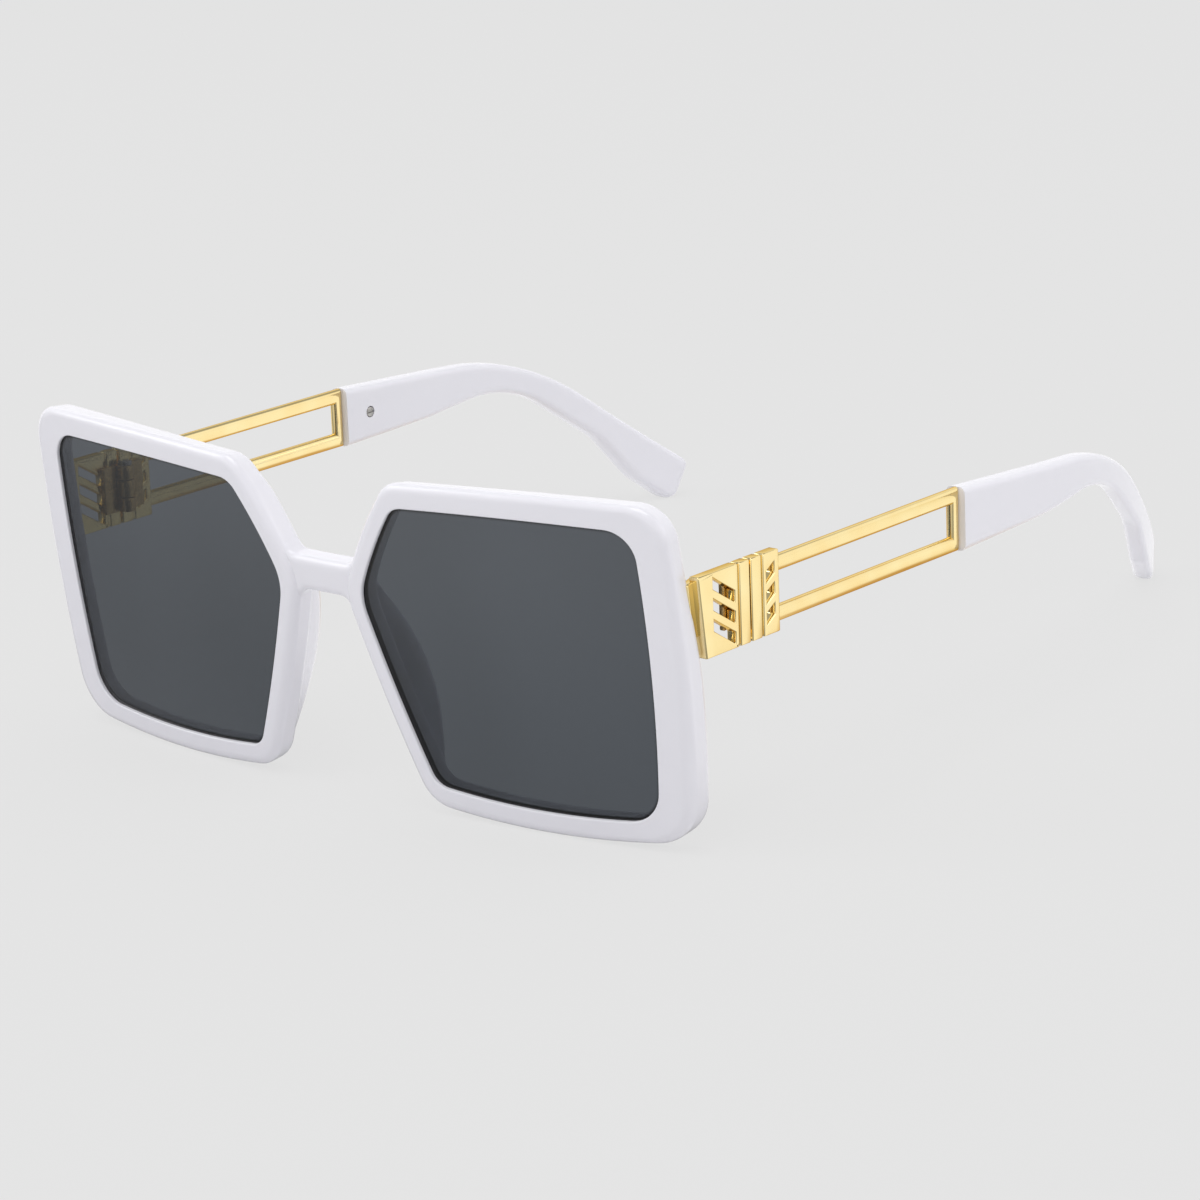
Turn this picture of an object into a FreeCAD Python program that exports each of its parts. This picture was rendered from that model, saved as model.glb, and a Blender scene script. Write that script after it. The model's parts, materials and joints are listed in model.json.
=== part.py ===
import FreeCAD, Part
import math
import os
import Sketcher

# Oversized sunglasses with a moulded front, tinted lenses and metal arms that fold.
#
# The model is drawn as the glasses are worn: X across the face with the wearer's left at +X,
# Y from the front face back towards the ears, Z up, and the arms level. The front is drawn in
# a frame of its own, in which it stands upright, and is then leaned forward by front_tilt.
# At the end everything is turned together until the rims and the arm tips stand on Z = 0,
# with the origin under the middle of the whole.

X_AXIS = FreeCAD.Vector(1, 0, 0)
Y_AXIS = FreeCAD.Vector(0, 1, 0)
Z_AXIS = FreeCAD.Vector(0, 0, 1)
ORIGIN = FreeCAD.Vector(0, 0, 0)

# Driving dimensions in millimetres and degrees, one spreadsheet cell each.
SIZES = {
    # Curve, lean and depth of the front
    "front_radius": 400.0,
    "front_tilt": 7.0,
    "front_thickness": 5.2,
    # Corners of one lens opening, from the middle of the front
    "brow_x": 65.6,
    "brow_rise": 23.8,
    "inner_brow_x": 18.5,
    "inner_brow_rise": 23.1,
    "nose_x": 8.9,
    "nose_rise": 6.0,
    "inner_cheek_x": 20.3,
    "inner_cheek_drop": 26.6,
    "cheek_x": 64.4,
    "cheek_drop": 26.9,
    # How far each side of the opening bows out between its corners
    "brow_bow": 0.5,
    "diagonal_bow": 0.6,
    "nose_bow": 0.5,
    "cheek_bow": 1.3,
    "temple_bow": 1.2,
    # Corner radii of the opening
    "brow_radius": 5.5,
    "inner_brow_radius": 4.5,
    "nose_radius": 9.0,
    "inner_cheek_radius": 4.0,
    "cheek_radius": 6.5,
    # Width of the rim along each side, and its outer corner radii
    "brow_rim": 4.6,
    "diagonal_rim": 3.6,
    "nose_rim": 3.5,
    "cheek_rim": 4.1,
    "temple_rim": 6.1,
    "brow_rim_radius": 6.5,
    "inner_brow_rim_radius": 5.5,
    "nose_rim_radius": 9.0,
    "inner_cheek_rim_radius": 7.0,
    "cheek_rim_radius": 8.5,
    "front_edge_round": 1.1,
    "back_edge_round": 0.8,
    # Lens and its groove
    "lens_recess": 0.7,
    "lens_thickness": 2.0,
    "groove_depth": 0.8,
    "lens_clearance": 0.05,
    # Bridge, its top measured from the nose corner of the opening
    "bridge_over_nose": 5.1,
    "bridge_height": 6.1,
    "bridge_recess": 0.7,
    "bridge_thickness": 4.3,
    "bridge_corner": 2.8,
    "bridge_round": 0.9,
    # Moulded nose pads, from above the nose corner down to just above the inner cheek corner
    "pad_over_nose": 3.5,
    "pad_end_gap": 0.4,
    "pad_depth": 5.4,
    "pad_wall": 2.6,
    "pad_splay": 14.0,
    "pad_inset": 0.3,
    # Metal plates on either side of the hinge seam
    "plate_overhang": 0.3,
    "plate_thickness": 2.0,
    "plate_bottom": 2.2,
    "plate_height": 14.0,
    "plate_gap": 0.1,
    "front_plate_length": 12.8,
    "rear_plate_length": 7.6,
    "seam_gap": 0.4,
    "plate_round": 0.35,
    # Slanted openwork in the plates and the groove beside the seam
    "slot_margin": 4.2,
    "front_slot_border": 3.0,
    "rear_slot_border": 1.2,
    "slot_width": 2.0,
    "slot_pitch": 3.5,
    "slot_slant": 32.0,
    "groove_line_offset": 2.9,
    "groove_line_width": 0.4,
    "groove_line_depth": 0.3,
    # Foot that fastens the front plate to the back of the rim
    "foot_width": 3.6,
    "foot_height": 9.4,
    "foot_thickness": 1.2,
    "foot_clearance": 0.05,
    "heel_lap": 0.7,
    "heel_width": 1.5,
    "heel_height": 2.2,
    "foot_screw_inset": 1.1,
    "foot_screw_head_radius": 0.85,
    "foot_screw_head_height": 0.5,
    "foot_screw_radius": 0.5,
    "foot_screw_length": 3.0,
    # Three-barrel hinge
    "hinge_height": 8.6,
    "barrel_radius": 1.5,
    "barrel_gap": 0.1,
    "outer_barrel_height": 2.6,
    "leaf_thickness": 1.0,
    "leaf_gap": 0.4,
    "leaf_length": 2.9,
    "hinge_bore_clearance": 0.04,
    "hinge_screw_radius": 0.7,
    "hinge_screw_head_radius": 1.25,
    "hinge_screw_head_height": 0.8,
    "screw_slot_width": 0.35,
    "screw_slot_depth": 0.3,
    # Two-rail arm, stepped in from the plate's lower and upper edges
    "lower_step": 1.45,
    "upper_step": 1.2,
    "arm_length": 59.1,
    "rail_height": 2.8,
    "rail_round": 0.8,
    "end_bar": 2.0,
    "tang_length": 17.0,
    "tang_height": 5.4,
    "tang_thickness": 1.4,
    # Moulded arm tip: handle, bend, neck and a paddle that steps out at its heel
    "tip_gap": 0.1,
    "tip_thickness": 4.0,
    "tip_round": 1.3,
    "tip_straight": 25.0,
    "tip_bow_radius": 120.0,
    "tip_handle": 50.8,
    "tip_bend_drop": 3.2,
    "tip_neck": 5.0,
    "tip_neck_setback": 4.1,
    "tip_bend_top_radius": 54.0,
    "tip_bend_bottom_radius": 26.0,
    "tip_rise_setback": 26.0,
    "tip_rise": 0.7,
    "tip_rise_radius": 60.0,
    "tip_paddle_reach": 34.0,
    "tip_paddle_drop": 27.2,
    "tip_end_height": 8.5,
    "tip_end_lean": 3.2,
    "tip_end_top_radius": 2.0,
    "tip_end_bottom_radius": 1.8,
    "tip_sole_reach": 7.5,
    "tip_sole_rise": 6.3,
    "tip_heel_radius": 8.0,
    "tip_flare_reach": 7.5,
    "tip_flare_rise": 9.7,
    "tip_flare_radius": 14.0,
    "tip_slot_clearance": 0.1,
    "tip_screw_setback": 6.4,
    "tip_screw_head_radius": 1.0,
    "tip_screw_head_height": 0.8,
    "tip_screw_radius": 0.6,
    "tip_screw_length": 1.9,
    "tip_screw_clearance": 0.05,
}

# Tolerances and counts that are no sizes of the object
NEAR = 0.01
LARGEST_SLANT = math.radians(2.5)
PAD_SECTIONS = 7
ROUND_LIMIT = 0.45
FACET = 0.05
LARGEST_DIP = math.radians(15)
DIP_TOLERANCE = 1e-7

doc = FreeCAD.newDocument("Sunglasses")
sheet = doc.addObject("Spreadsheet::Sheet", "Sizes")
for row, (alias, value) in enumerate(SIZES.items(), start=1):
    sheet.set("A%d" % row, alias)
    sheet.set("B%d" % row, str(value))
    sheet.setAlias("B%d" % row, alias)
doc.recompute()


def size(alias):
    """Value of one driving dimension, read back from the sheet."""
    return float(sheet.get(alias))


def cell(alias):
    """Expression text that names one driving dimension."""
    return "Sizes." + alias


def value_of(expression):
    """Number that an expression gives."""
    return float(sheet.evalExpression(expression))


# Expressions that several pieces share. The plates hang on the temple side of the rim, so they
# follow the line between the opening's two outer corners at the middle height of the plates.

PLATE_TOP = "(Sizes.plate_bottom + Sizes.plate_height)"
PLATE_MIDDLE = "(Sizes.plate_bottom + Sizes.plate_height / 2)"
TEMPLE_SHARE = "((%s + Sizes.cheek_drop) / (Sizes.brow_rise + Sizes.cheek_drop))" % PLATE_MIDDLE
TEMPLE_LINE = "(Sizes.cheek_x + (Sizes.brow_x - Sizes.cheek_x) * %s)" % TEMPLE_SHARE
PLATE_OUTER = "(%s + Sizes.temple_bow + Sizes.temple_rim + Sizes.plate_overhang)" % TEMPLE_LINE
PLATE_INNER = "(%s - Sizes.plate_thickness)" % PLATE_OUTER
FOOT_X = "(%s + Sizes.heel_lap - Sizes.foot_width / 2)" % PLATE_INNER
BACK_RADIUS = "(Sizes.front_radius - Sizes.front_thickness)"
BACK_DEPTH = "(Sizes.front_radius - sqrt(%s^2 - %s^2))" % (BACK_RADIUS, PLATE_OUTER)
FRONT_REACH = "(%s + Sizes.front_thickness)" % BACK_DEPTH
SLAB_HEIGHT = "(2 * (Sizes.brow_rise + Sizes.cheek_drop))"


def plate_front(height):
    """Expression for the plate's front end, which follows the back of the leaning front."""
    return "(%s / cos(Sizes.front_tilt) - %s * tan(Sizes.front_tilt) + Sizes.plate_gap)" % (BACK_DEPTH, height)


SEAM = "(%s + Sizes.front_plate_length)" % plate_front(PLATE_MIDDLE)
HINGE_X = "(%s - Sizes.barrel_radius - Sizes.barrel_gap)" % PLATE_INNER
HINGE_LOW = "(%s - Sizes.hinge_height / 2)" % PLATE_MIDDLE
HINGE_HIGH = "(%s + Sizes.hinge_height / 2)" % PLATE_MIDDLE
HINGE_BORE = "(Sizes.hinge_screw_radius + Sizes.hinge_bore_clearance)"
ARM_LOW = "(Sizes.plate_bottom + Sizes.lower_step)"
ARM_TOP = "(%s - Sizes.upper_step)" % PLATE_TOP
ARM_MIDDLE = "((%s + %s) / 2)" % (ARM_LOW, ARM_TOP)
ARM_END = "(%s + Sizes.arm_length)" % SEAM
TIP_START = "(%s + Sizes.tip_gap)" % ARM_END
TIP_SCREW_Y = "(%s + Sizes.tip_screw_setback)" % TIP_START

foot_x = value_of(FOOT_X)
foot_rise = value_of(PLATE_MIDDLE)
plate_centre_x = value_of(PLATE_OUTER) - size("plate_thickness") / 2
seam = value_of(SEAM)
hinge_x = value_of(HINGE_X)
arm_low = value_of(ARM_LOW)
arm_top = value_of(ARM_TOP)
arm_middle = value_of(ARM_MIDDLE)
tip_start = value_of(TIP_START)
tip_screw_y = value_of(TIP_SCREW_Y)
tip_bend = tip_start + size("tip_handle")
tip_end = tip_bend + size("tip_paddle_reach")
tip_inner_x = plate_centre_x - size("tip_thickness") / 2

lean = FreeCAD.Placement(ORIGIN, FreeCAD.Rotation(X_AXIS, size("front_tilt")))


def foot_seat():
    """Placement of the foot's seat on the curved back of the rim, in the front's own frame."""
    back_radius = value_of(BACK_RADIUS)
    turn = math.asin(foot_x / back_radius)
    point = FreeCAD.Vector(foot_x, size("front_radius") - back_radius * math.cos(turn), foot_rise)
    return FreeCAD.Placement(point, FreeCAD.Rotation(Z_AXIS, math.degrees(turn)))


# Plane outlines made of lines and arcs

def flat(point):
    """A point (across, up) as a vector in the XZ plane."""
    return FreeCAD.Vector(point[0], 0, point[1])


def toward(start, end, distance):
    """The point at a distance from start on the way to end."""
    share = distance / math.hypot(end[0] - start[0], end[1] - start[1])
    return (start[0] + (end[0] - start[0]) * share, start[1] + (end[1] - start[1]) * share)


def line_edge(start, end):
    """Straight edge between two points (across, up)."""
    return Part.LineSegment(flat(start), flat(end)).toShape()


def arc_edge(centre, radius, start, end):
    """Arc edge about a centre, the short way from start to end."""
    middle = ((start[0] + end[0]) / 2, (start[1] + end[1]) / 2)
    return Part.Arc(flat(start), flat(toward(centre, middle, radius)), flat(end)).toShape()


def circles_cross(centre_a, radius_a, centre_b, radius_b, near):
    """The crossing of two circles that lies nearer to a given point."""
    span = math.hypot(centre_b[0] - centre_a[0], centre_b[1] - centre_a[1])
    along = (radius_a ** 2 - radius_b ** 2 + span ** 2) / (2 * span)
    aside = math.sqrt(radius_a ** 2 - along ** 2)
    ux = (centre_b[0] - centre_a[0]) / span
    uz = (centre_b[1] - centre_a[1]) / span
    middle = (centre_a[0] + ux * along, centre_a[1] + uz * along)
    options = [(middle[0] - uz * side, middle[1] + ux * side) for side in (aside, -aside)]
    return min(options, key=lambda p: math.hypot(p[0] - near[0], p[1] - near[1]))


def bowed_side(start, end, bow):
    """Centre and radius of the arc that bows out to the right of start to end."""
    chord = math.hypot(end[0] - start[0], end[1] - start[1])
    radius = (chord ** 2 / 4 + bow ** 2) / (2 * bow)
    out = ((end[1] - start[1]) / chord, (start[0] - end[0]) / chord)
    middle = ((start[0] + end[0]) / 2, (start[1] + end[1]) / 2)
    reach = radius - bow
    return (middle[0] - out[0] * reach, middle[1] - out[1] * reach), radius


OPENING_CORNERS = [
    (size("brow_x"), size("brow_rise")),
    (size("inner_brow_x"), size("inner_brow_rise")),
    (size("nose_x"), size("nose_rise")),
    (size("inner_cheek_x"), -size("inner_cheek_drop")),
    (size("cheek_x"), -size("cheek_drop")),
]
SIDE_NAMES = ["brow", "diagonal", "nose", "cheek", "temple"]
CORNER_NAMES = ["brow", "inner_brow", "nose", "inner_cheek", "cheek"]
OPENING_SIDES = []
for number, name in enumerate(SIDE_NAMES):
    after = OPENING_CORNERS[(number + 1) % len(OPENING_CORNERS)]
    OPENING_SIDES.append(bowed_side(OPENING_CORNERS[number], after, size(name + "_bow")))


def outline_face(offsets, radii):
    """Face of the opening's outline with each side moved out and its corners rounded.

    The sides are arcs about fixed centres, so that an offset only lengthens their radii. Each
    corner arc touches its two sides from within.
    """
    count = len(OPENING_SIDES)
    touches = []
    for corner in range(count):
        before_centre, before_radius = OPENING_SIDES[corner - 1]
        after_centre, after_radius = OPENING_SIDES[corner]
        before_radius += offsets[corner - 1]
        after_radius += offsets[corner]
        centre = circles_cross(before_centre, before_radius - radii[corner],
                               after_centre, after_radius - radii[corner], OPENING_CORNERS[corner])
        touches.append((toward(before_centre, centre, before_radius), centre,
                        toward(after_centre, centre, after_radius)))
    edges = []
    for corner in range(count):
        first, centre, last = touches[corner]
        following = touches[(corner + 1) % count][0]
        side_centre, side_radius = OPENING_SIDES[corner]
        edges.append(arc_edge(centre, radii[corner], first, last))
        edges.append(arc_edge(side_centre, side_radius + offsets[corner], last, following))
    return Part.Face(Part.Wire(edges))


def opening_outline(offset):
    """Face of the lens opening, moved out by one offset all round."""
    radii = [size(name + "_radius") + offset for name in CORNER_NAMES]
    return outline_face([offset] * len(SIDE_NAMES), radii)


def rim_outline():
    """Face of the rim's outer outline."""
    return outline_face([size(name + "_rim") for name in SIDE_NAMES],
                        [size(name + "_rim_radius") for name in CORNER_NAMES])


def rounded_wire(corners):
    """Closed wire in the XZ plane through corners (across, up, radius), each rounded by an arc."""
    count = len(corners)
    cuts = []
    for number in range(count):
        before = corners[number - 1]
        here = corners[number]
        after = corners[(number + 1) % count]
        first_angle = math.atan2(before[1] - here[1], before[0] - here[0])
        last_angle = math.atan2(after[1] - here[1], after[0] - here[0])
        between = abs((last_angle - first_angle + math.pi) % (2 * math.pi) - math.pi)
        trim = here[2] / math.tan(between / 2)
        cuts.append((toward(here, before, trim), toward(here, after, trim)))
    edges = []
    for number in range(count):
        start, end = cuts[number]
        corner, radius = corners[number][:2], corners[number][2]
        if radius > 0:
            chord_middle = ((start[0] + end[0]) / 2, (start[1] + end[1]) / 2)
            trim = math.hypot(start[0] - corner[0], start[1] - corner[1])
            middle = toward(corner, chord_middle, math.hypot(radius, trim) - radius)
            edges.append(Part.Arc(flat(start), flat(middle), flat(end)).toShape())
        edges.append(line_edge(end, cuts[(number + 1) % count][0]))
    return Part.Wire(edges)


def extruded(face, start, end):
    """Solid of a face in the XZ plane carried from Y = start to Y = end."""
    moved = face.copy()
    moved.translate(Y_AXIS * start)
    return moved.extrude(Y_AXIS * (end - start))


def curved_slab(front_depth, back_depth):
    """Solid between two depths behind the curved front surface."""
    tall = value_of(SLAB_HEIGHT)
    base = FreeCAD.Vector(0, size("front_radius"), -tall / 2)
    outer = Part.makeCylinder(size("front_radius") - front_depth, tall, base, Z_AXIS)
    inner = Part.makeCylinder(size("front_radius") - back_depth, tall, base, Z_AXIS)
    return outer.cut(inner)


def mirrored(shape):
    """The same shape on the other side of the nose."""
    return shape.mirror(ORIGIN, X_AXIS)


def middle_of(edge):
    """Point halfway along an edge."""
    return edge.valueAt((edge.FirstParameter + edge.LastParameter) / 2)


def is_along(edge, axis):
    """Whether an edge is a straight line along an axis."""
    if edge.Curve.TypeId != "Part::GeomLine":
        return False
    angle = edge.Curve.Direction.getAngle(axis)
    return min(angle, math.pi - angle) < LARGEST_SLANT


# Rounds of the moulded pieces, made of flat strips that touch the round

EIGHTH_TURN_TOUCH = math.tan(math.pi / 8)


def strip_leg(radius):
    """Length that the strip of a round takes off each of the two faces."""
    return radius * (1 - EIGHTH_TURN_TOUCH)


# Sketch and feature helpers for the bodies

def origin_plane(body, role):
    """One of a body's own origin planes."""
    return [feature for feature in body.Origin.OriginFeatures if feature.Role == role][0]


def new_body(label):
    """Empty body whose label names its file."""
    body = doc.addObject("PartDesign::Body", label)
    body.Label = label
    return body


def new_sketch(body, name, role, depth=None, offset=None):
    """Sketch on an origin plane, raised by an expression or moved by a placement."""
    sketch = body.newObject("Sketcher::SketchObject", name)
    sketch.AttachmentSupport = [(origin_plane(body, role), "")]
    sketch.MapMode = "FlatFace"
    if offset is not None:
        sketch.AttachmentOffset = offset
    if depth is not None:
        sketch.setExpression("AttachmentOffset.Base.z", depth)
    return sketch


def add_polygon(sketch, corners):
    """Closed polygon whose corners are held by one expression for each coordinate."""
    first = sketch.GeometryCount
    points = [FreeCAD.Vector(value_of(x), value_of(y), 0) for x, y in corners]
    count = len(points)
    for number in range(count):
        sketch.addGeometry(Part.LineSegment(points[number], points[(number + 1) % count]), False)
    for number in range(count):
        following = first + (number + 1) % count
        sketch.addConstraint(Sketcher.Constraint("Coincident", first + number, 2, following, 1))
    for number, (x, y) in enumerate(corners):
        for kind, text, value in (("DistanceX", x, points[number].x), ("DistanceY", y, points[number].y)):
            held = sketch.addConstraint(Sketcher.Constraint(kind, -1, 1, first + number, 1, value))
            sketch.setExpression("Constraints[%d]" % held, text)


def add_circle(sketch, x, y, radius):
    """Circle held by expressions for its centre and radius."""
    centre = FreeCAD.Vector(value_of(x), value_of(y), 0)
    drawn = sketch.addGeometry(Part.Circle(centre, Z_AXIS, value_of(radius)), False)
    for kind, text, value in (("DistanceX", x, centre.x), ("DistanceY", y, centre.y)):
        held = sketch.addConstraint(Sketcher.Constraint(kind, -1, 1, drawn, 3, value))
        sketch.setExpression("Constraints[%d]" % held, text)
    held = sketch.addConstraint(Sketcher.Constraint("Radius", drawn, value_of(radius)))
    sketch.setExpression("Constraints[%d]" % held, radius)


def add_pad(body, sketch, name, length):
    """Pad along the sketch's normal by an expression."""
    pad = body.newObject("PartDesign::Pad", name)
    pad.Profile = sketch
    pad.setExpression("Length", length)
    doc.recompute()
    return pad


def add_pocket(body, sketch, name, length, forward=False):
    """Pocket against the sketch's normal, or along it, that has to take material away."""
    before = body.Shape.Volume
    pocket = body.newObject("PartDesign::Pocket", name)
    pocket.Profile = sketch
    pocket.Reversed = forward
    pocket.setExpression("Length", length)
    doc.recompute()
    if body.Shape.Volume >= before:
        raise RuntimeError(name + " cuts nothing")
    return pocket


def add_fillet(body, name, radius, chosen):
    """Fillet on the edges of the body's tip that a test picks."""
    tip = body.Tip
    names = ["Edge%d" % (number + 1) for number, edge in enumerate(tip.Shape.Edges) if chosen(edge)]
    fillet = body.newObject("PartDesign::Fillet", name)
    fillet.Base = (tip, names)
    fillet.setExpression("Radius", radius)
    doc.recompute()
    return fillet


def screw(label, prefix, length):
    """Turned screw on Z with a slotted head above the origin and its shank below.

    The prefix names its driving dimensions, and length is the expression for its shank.
    """
    body = new_body(label)
    head = cell(prefix + "_head_radius")
    top = cell(prefix + "_head_height")
    shank = cell(prefix + "_radius")
    profile = new_sketch(body, label + "_profile", "XZ_Plane")
    end = "-(%s)" % length
    add_polygon(profile, [("0", top), (head, top), (head, "0"), (shank, "0"), (shank, end), ("0", end)])
    turned = body.newObject("PartDesign::Revolution", label + "_turned")
    turned.Profile = profile
    turned.ReferenceAxis = (profile, ["V_Axis"])
    turned.Angle = 360
    doc.recompute()
    cut = new_sketch(body, label + "_slot_profile", "XY_Plane", top)
    half = "Sizes.screw_slot_width / 2"
    minus = "-Sizes.screw_slot_width / 2"
    add_polygon(cut, [("-" + head, minus), (head, minus), (head, half), ("-" + head, half)])
    add_pocket(body, cut, label + "_slot", cell("screw_slot_depth"))
    return body


# Moulded front

def edges_at_depth(shape, depth):
    """Edges of a shape that run along the curved surface at one depth behind the front."""
    found = []
    for edge in shape.Edges:
        spot = middle_of(edge)
        behind = size("front_radius") - math.hypot(spot.x, size("front_radius") - spot.y)
        if abs(behind - depth) < NEAR:
            found.append(edge)
    return found


def rim():
    """One rim with its outer edges rounded by strips, its opening and the groove that holds the lens."""
    thickness = size("front_thickness")
    reach = value_of(FRONT_REACH)
    blank = extruded(rim_outline(), -thickness, reach).common(curved_slab(0, thickness))
    blank = blank.makeChamfer(strip_leg(size("front_edge_round")), edges_at_depth(blank, 0))
    blank = blank.makeChamfer(strip_leg(size("back_edge_round")), edges_at_depth(blank, thickness))
    blank = blank.cut(extruded(opening_outline(0), -thickness, reach))
    seat = extruded(opening_outline(size("groove_depth")), -thickness, reach)
    front_depth = size("lens_recess") - size("lens_clearance")
    back_depth = size("lens_recess") + size("lens_thickness") + size("lens_clearance")
    return blank.cut(seat.common(curved_slab(front_depth, back_depth)))


def nose_edge_x(outline, height):
    """Where a rim's outline comes nearest to the nose at a height."""
    level = Part.makeLine(FreeCAD.Vector(0, 0, height), FreeCAD.Vector(size("brow_x"), 0, height))
    return outline.common(level).BoundBox.XMin


def nose_pad():
    """Moulded pad that grows back from the nose side of the rim and turns outward.

    Level sections are lofted down the nose side. Each is a wall that follows the rim's outline,
    leans out by pad_splay and ends in a round of strips. Its depth is a parabola, pad_depth behind
    the rim at the middle and sunk below the rim's rounded back edge at both ends.
    """
    outline = rim_outline()
    groove_back = size("lens_recess") + size("lens_thickness") + size("lens_clearance")
    back = size("front_thickness")
    root = (groove_back + back) / 2
    lean_out = math.tan(math.radians(size("pad_splay")))
    wall = size("pad_wall")
    leg = strip_leg(wall / 2)
    sink = size("back_edge_round") / 2
    top = size("nose_rise") + size("pad_over_nose")
    bottom = size("pad_end_gap") - size("inner_cheek_drop")
    sections = []
    for number in range(PAD_SECTIONS):
        share = 2 * number / (PAD_SECTIONS - 1) - 1
        height = top + (bottom - top) * (1 + share) / 2
        depth = back - sink + (size("pad_depth") + sink) * (1 - share ** 2)
        start = nose_edge_x(outline, height) + size("pad_inset")
        shoulder = max(depth - leg, (root + depth) / 2)
        out = start + (shoulder - root) * lean_out
        crown = start + (depth - root) * lean_out
        points = [(start, root), (out, shoulder), (crown + leg, depth), (crown + wall - leg, depth),
                  (out + wall, shoulder), (start + wall, root)]
        corners = [FreeCAD.Vector(x, y, height) for x, y in points]
        sections.append(Part.makePolygon(corners + corners[:1]))
    return Part.makeLoft(sections, True, True)


def hollow_corner(centre, radius, height, corner):
    """Centre of a hollow corner arc at a height, touching a rim's side from outside."""
    rise = height - centre[1]
    return (centre[0] - math.sqrt((radius + corner) ** 2 - rise ** 2), height)


def on_bridge_edge(edge, inside):
    """Whether an edge is a front or back edge of the bridge between the rims."""
    across = abs(middle_of(edge).x)
    if is_along(edge, Y_AXIS) or across > inside - NEAR:
        return False
    return not is_along(edge, X_AXIS) or across < NEAR


def bridge():
    """Web between the rims, set back from the front, with hollow corners where it meets them."""
    top = size("nose_rise") + size("bridge_over_nose")
    low = top - size("bridge_height")
    corner = size("bridge_corner")
    diagonal_centre, diagonal_radius = OPENING_SIDES[SIDE_NAMES.index("diagonal")]
    nose_centre, nose_radius = OPENING_SIDES[SIDE_NAMES.index("nose")]
    upper_radius = diagonal_radius + size("diagonal_rim")
    lower_radius = nose_radius + size("nose_rim")
    upper = hollow_corner(diagonal_centre, upper_radius, top + corner, corner)
    lower = hollow_corner(nose_centre, lower_radius, low - corner, corner)
    upper_touch = toward(diagonal_centre, upper, upper_radius)
    lower_touch = toward(nose_centre, lower, lower_radius)
    inside = size("nose_x")
    right = [
        arc_edge(upper, corner, (upper[0], top), upper_touch),
        line_edge(upper_touch, (inside, upper_touch[1])),
        line_edge((inside, upper_touch[1]), (inside, lower_touch[1])),
        line_edge((inside, lower_touch[1]), lower_touch),
        arc_edge(lower, corner, lower_touch, (lower[0], low)),
    ]
    left = [mirrored(edge) for edge in right]
    spans = [line_edge((upper[0], top), (-upper[0], top)), line_edge((lower[0], low), (-lower[0], low))]
    wire = Part.Wire(Part.sortEdges(right + left + spans)[0])
    start = size("bridge_recess")
    web = extruded(Part.Face(wire), start, start + size("bridge_thickness"))
    rounded = [edge for edge in web.Edges if on_bridge_edge(edge, inside)]
    web = web.makeChamfer(strip_leg(size("bridge_round")), rounded)
    keep = extruded(opening_outline(0), -size("front_thickness"), value_of(FRONT_REACH))
    return web.cut(keep).cut(mirrored(keep))


FOOT_SCREW_X = "(Sizes.foot_screw_inset - Sizes.foot_width / 2)"


def foot_recess():
    """Recess in the back of the rim for the foot of the metal plate, with the hole for its screw."""
    gap = size("foot_clearance")
    wide = size("foot_width") + 2 * gap
    tall = size("foot_height") + 2 * gap
    deep = size("foot_thickness") + gap
    corner = FreeCAD.Vector(-wide / 2, -deep, -tall / 2)
    recess = Part.makeBox(wide, deep + size("heel_height"), tall, corner)
    length = size("foot_screw_length")
    start = FreeCAD.Vector(value_of(FOOT_SCREW_X), -length, 0)
    recess = recess.fuse(Part.makeCylinder(size("foot_screw_radius"), length, start, Y_AXIS))
    recess.Placement = foot_seat()
    return recess


half_front = rim().fuse(nose_pad()).cut(foot_recess())
front_shape = half_front.fuse([mirrored(half_front), bridge()]).removeSplitter()
front_frame = doc.addObject("Part::Feature", "front_frame")
front_frame.Label = "front_frame"
front_frame.Shape = front_shape


# Lenses, cut from a curved sheet

def lens():
    """Tinted lens as the common part of its upright outline and a curved sheet."""
    outline = doc.addObject("Part::Feature", "lens_outline")
    outline.Shape = opening_outline(size("groove_depth") - size("lens_clearance"))
    blank = doc.addObject("Part::Extrusion", "lens_blank")
    blank.Base = outline
    blank.Dir = Y_AXIS
    blank.Solid = True
    blank.setExpression("LengthFwd", FRONT_REACH)
    cylinders = []
    for name, depth in (("lens_front", "Sizes.lens_recess"),
                        ("lens_back", "(Sizes.lens_recess + Sizes.lens_thickness)")):
        cylinder = doc.addObject("Part::Cylinder", name)
        cylinder.setExpression("Radius", "Sizes.front_radius - %s" % depth)
        cylinder.setExpression("Height", SLAB_HEIGHT)
        cylinder.setExpression("Placement.Base.y", "Sizes.front_radius")
        cylinder.setExpression("Placement.Base.z", "-%s / 2" % SLAB_HEIGHT)
        cylinders.append(cylinder)
    curved = doc.addObject("Part::Cut", "lens_sheet")
    curved.Base, curved.Tool = cylinders
    made = doc.addObject("Part::Common", "lens_left")
    made.Base = blank
    made.Tool = curved
    made.Label = "lens_left"
    doc.recompute()
    return made


lens_left = lens()


# Openwork of the metal plates

def slot_corners(side, border, length, row):
    """Corners of one slanted slot, mirrored about the seam by its side."""
    near = "(%s + (%d) * Sizes.slot_margin)" % (SEAM, side)
    far = "(%s + (%d) * (%s - %s))" % (SEAM, side, length, border)
    middle = "(%s + (%d) * Sizes.slot_pitch)" % (PLATE_MIDDLE, row)
    drop = "((%s - %s - Sizes.slot_margin) * tan(Sizes.slot_slant) / 2)" % (length, border)
    half = "(Sizes.slot_width / 2)"
    return [(near, "%s - %s - %s" % (middle, drop, half)), (far, "%s + %s - %s" % (middle, drop, half)),
            (far, "%s + %s + %s" % (middle, drop, half)), (near, "%s - %s + %s" % (middle, drop, half))]


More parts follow.
